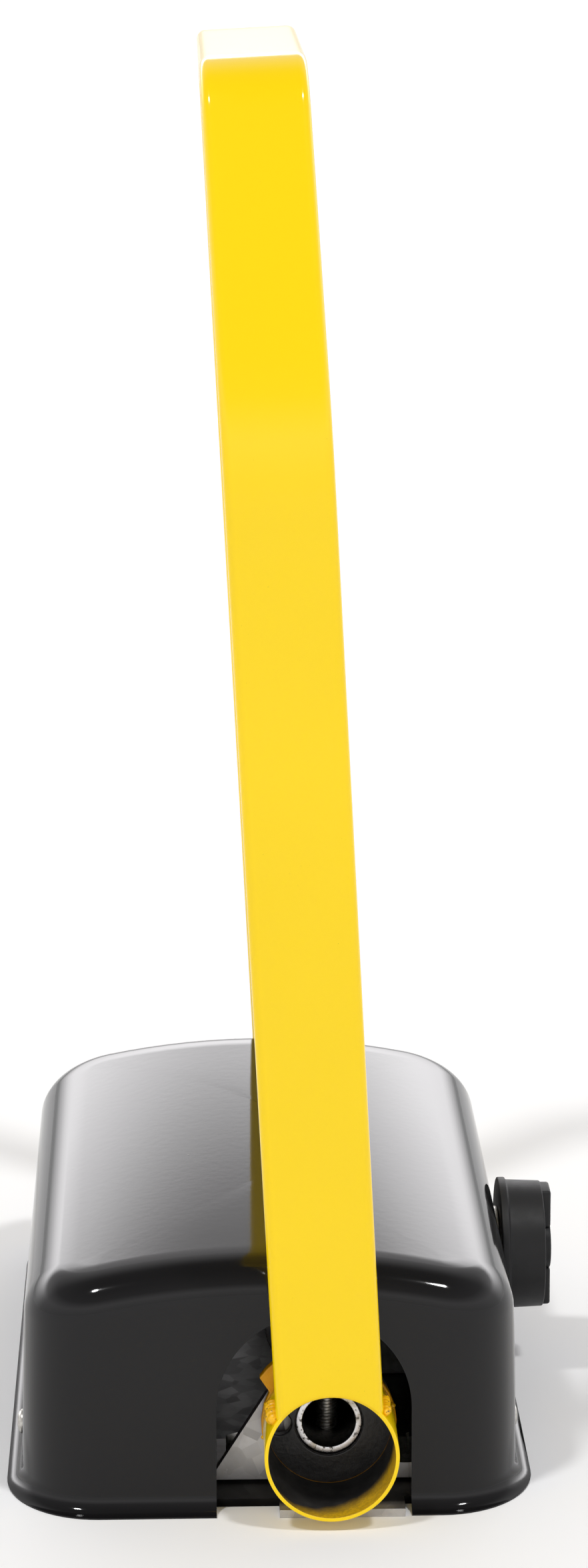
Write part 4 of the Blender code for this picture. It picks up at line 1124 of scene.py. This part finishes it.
class BARRIER_OT_stage(bpy.types.Operator):
    """Set the pale floor, the soft lights, the sky and the camera"""
    bl_idname = "barrier.stage"
    bl_label = "Stage"

    def execute(self, context):
        bm = bmesh.new()
        bmesh.ops.create_grid(bm, x_segments=1, y_segments=1, size=30)
        floor = into_object(bm, "studio_floor", "studio_floor")
        floor.data.transform(Matrix.Translation((0, 0, -0.0001)))
        for side, name in ((-1, "left_lamp"), (1, "right_lamp")):
            high_lamp(name, (side * 0.36, -0.30, 0.88), 0.93, 6)
        self.sky(context)
        self.camera(context)
        context.scene.view_settings.view_transform = "Standard"
        return {"FINISHED"}

    def climb(self, tree, parts, stops):
        """A grey that changes with height in the sky."""
        ramp = tree.nodes.new("ShaderNodeValToRGB")
        first, *middle, last = stops
        for stop, (height, grey) in zip(ramp.color_ramp.elements, (first, last)):
            stop.position, stop.color = height, (grey, grey, grey, 1)
        for height, grey in middle:
            ramp.color_ramp.elements.new(height).color = (grey, grey * 0.985, grey, 1)
        tree.links.new(parts.outputs["Z"], ramp.inputs["Fac"])
        return ramp.outputs["Color"]

    def sky(self, context):
        world = bpy.data.worlds.new("studio")
        world.use_nodes = True
        tree = world.node_tree
        background = tree.nodes["Background"]
        way = tree.nodes.new("ShaderNodeTexCoord")
        parts = tree.nodes.new("ShaderNodeSeparateXYZ")
        tree.links.new(way.outputs["Generated"], parts.inputs["Vector"])
        ahead = self.climb(tree, parts, ((0.05, 0.66), (0.30, 0.86), (0.55, 0.30), (1.0, 0.12)))
        behind = self.climb(tree, parts, ((0.05, 0.16), (0.16, 0.50), (0.28, 1.0), (0.325, 0.66),
                                          (0.365, 0.19), (0.45, 0.14), (1.0, 0.14)))
        depth = tree.nodes.new("ShaderNodeMapRange")
        depth.interpolation_type = "SMOOTHSTEP"
        level = tree.nodes.new("ShaderNodeMapRange")
        blend = tree.nodes.new("ShaderNodeMix")
        blend.data_type = "RGBA"
        for node, socket, value in ((depth, "From Min", 0.25), (depth, "From Max", 0.88),
                                    (level, "To Min", 1.45), (level, "To Max", 5.0)):
            node.inputs[socket].default_value = value
        for source, target in ((parts.outputs["Y"], depth.inputs["Value"]),
                               (depth.outputs["Result"], blend.inputs["Factor"]),
                               (ahead, blend.inputs[6]), (behind, blend.inputs[7]),
                               (depth.outputs["Result"], level.inputs["Value"]),
                               (blend.outputs[2], background.inputs["Color"]),
                               (level.outputs["Result"], background.inputs["Strength"])):
            tree.links.new(source, target)
        context.scene.world = world

    def camera(self, context):
        lens = bpy.data.cameras.new("camera")
        lens.sensor_width = 36
        lens.lens = 91.226
        lens.shift_y = -0.2836
        lens.clip_end = 100
        camera = bpy.data.objects.new("camera", lens)
        context.scene.collection.objects.link(camera)
        camera.location = (-0.03488, -1.53767, 0.66684)
        camera.rotation_euler = (math.radians(81), 0, -math.radians(1.77))
        context.scene.camera = camera


class BARRIER_OT_finishes(bpy.types.Operator):
    """Mix the paints, zinc, steel, plastic, nylon, brass and floor"""
    bl_idname = "barrier.finishes"
    bl_label = "Finishes"

    def execute(self, context):
        for mixed in (make_hoop_paint, make_weld_paint, make_end_plate_paint, make_cover_paint, make_zinc,
                      make_plate_zinc, make_shaft_zinc, make_bolt_steel, make_collar_bore,
                      make_knob_plastic, make_nylon, make_brass, make_floor_finish):
            mixed()
        return {"FINISHED"}


class BARRIER_PT_panel(bpy.types.Panel):
    """Lists the barrier's pieces and their settings"""
    bl_idname = "BARRIER_PT_panel"
    bl_label = "Parking barrier"
    bl_space_type = "VIEW_3D"
    bl_region_type = "UI"
    bl_category = "Barrier"

    def draw(self, context):
        column = self.layout.column(align=True)
        for operator in OPERATORS:
            column.operator(operator.bl_idname)
        for group in (context.scene.barrier_sizes, context.scene.barrier_colours):
            box = self.layout.box()
            for name in group.bl_rna.properties.keys():
                if name not in {"rna_type", "name"}:
                    box.prop(group, name)


OPERATORS = (BARRIER_OT_finishes, BARRIER_OT_stage, BARRIER_OT_cover, BARRIER_OT_cover_screws,
             BARRIER_OT_base, BARRIER_OT_fixings, BARRIER_OT_pivot, BARRIER_OT_hoop, BARRIER_OT_collars,
             BARRIER_OT_drive_plates, BARRIER_OT_welds, BARRIER_OT_lock, BARRIER_OT_knob)
CLASSES = (BarrierSizes, BarrierColours, *OPERATORS, BARRIER_PT_panel)


def register():
    for made in CLASSES:
        bpy.utils.register_class(made)
    bpy.types.Scene.barrier_sizes = PointerProperty(type=BarrierSizes)
    bpy.types.Scene.barrier_colours = PointerProperty(type=BarrierColours)


def unregister():
    del bpy.types.Scene.barrier_colours
    del bpy.types.Scene.barrier_sizes
    for made in reversed(CLASSES):
        bpy.utils.unregister_class(made)


def main():
    register()
    bpy.ops.barrier.finishes()
    bpy.ops.barrier.stage()
    bpy.ops.barrier.cover()
    bpy.ops.barrier.cover_screws()
    bpy.ops.barrier.base()
    bpy.ops.barrier.fixings()
    bpy.ops.barrier.pivot()
    bpy.ops.barrier.hoop()
    bpy.ops.barrier.collars()
    bpy.ops.barrier.drive_plates()
    bpy.ops.barrier.welds()
    bpy.ops.barrier.lock()
    bpy.ops.barrier.knob()
    bpy.context.view_layer.update()


if __name__ == "__main__":
    main()
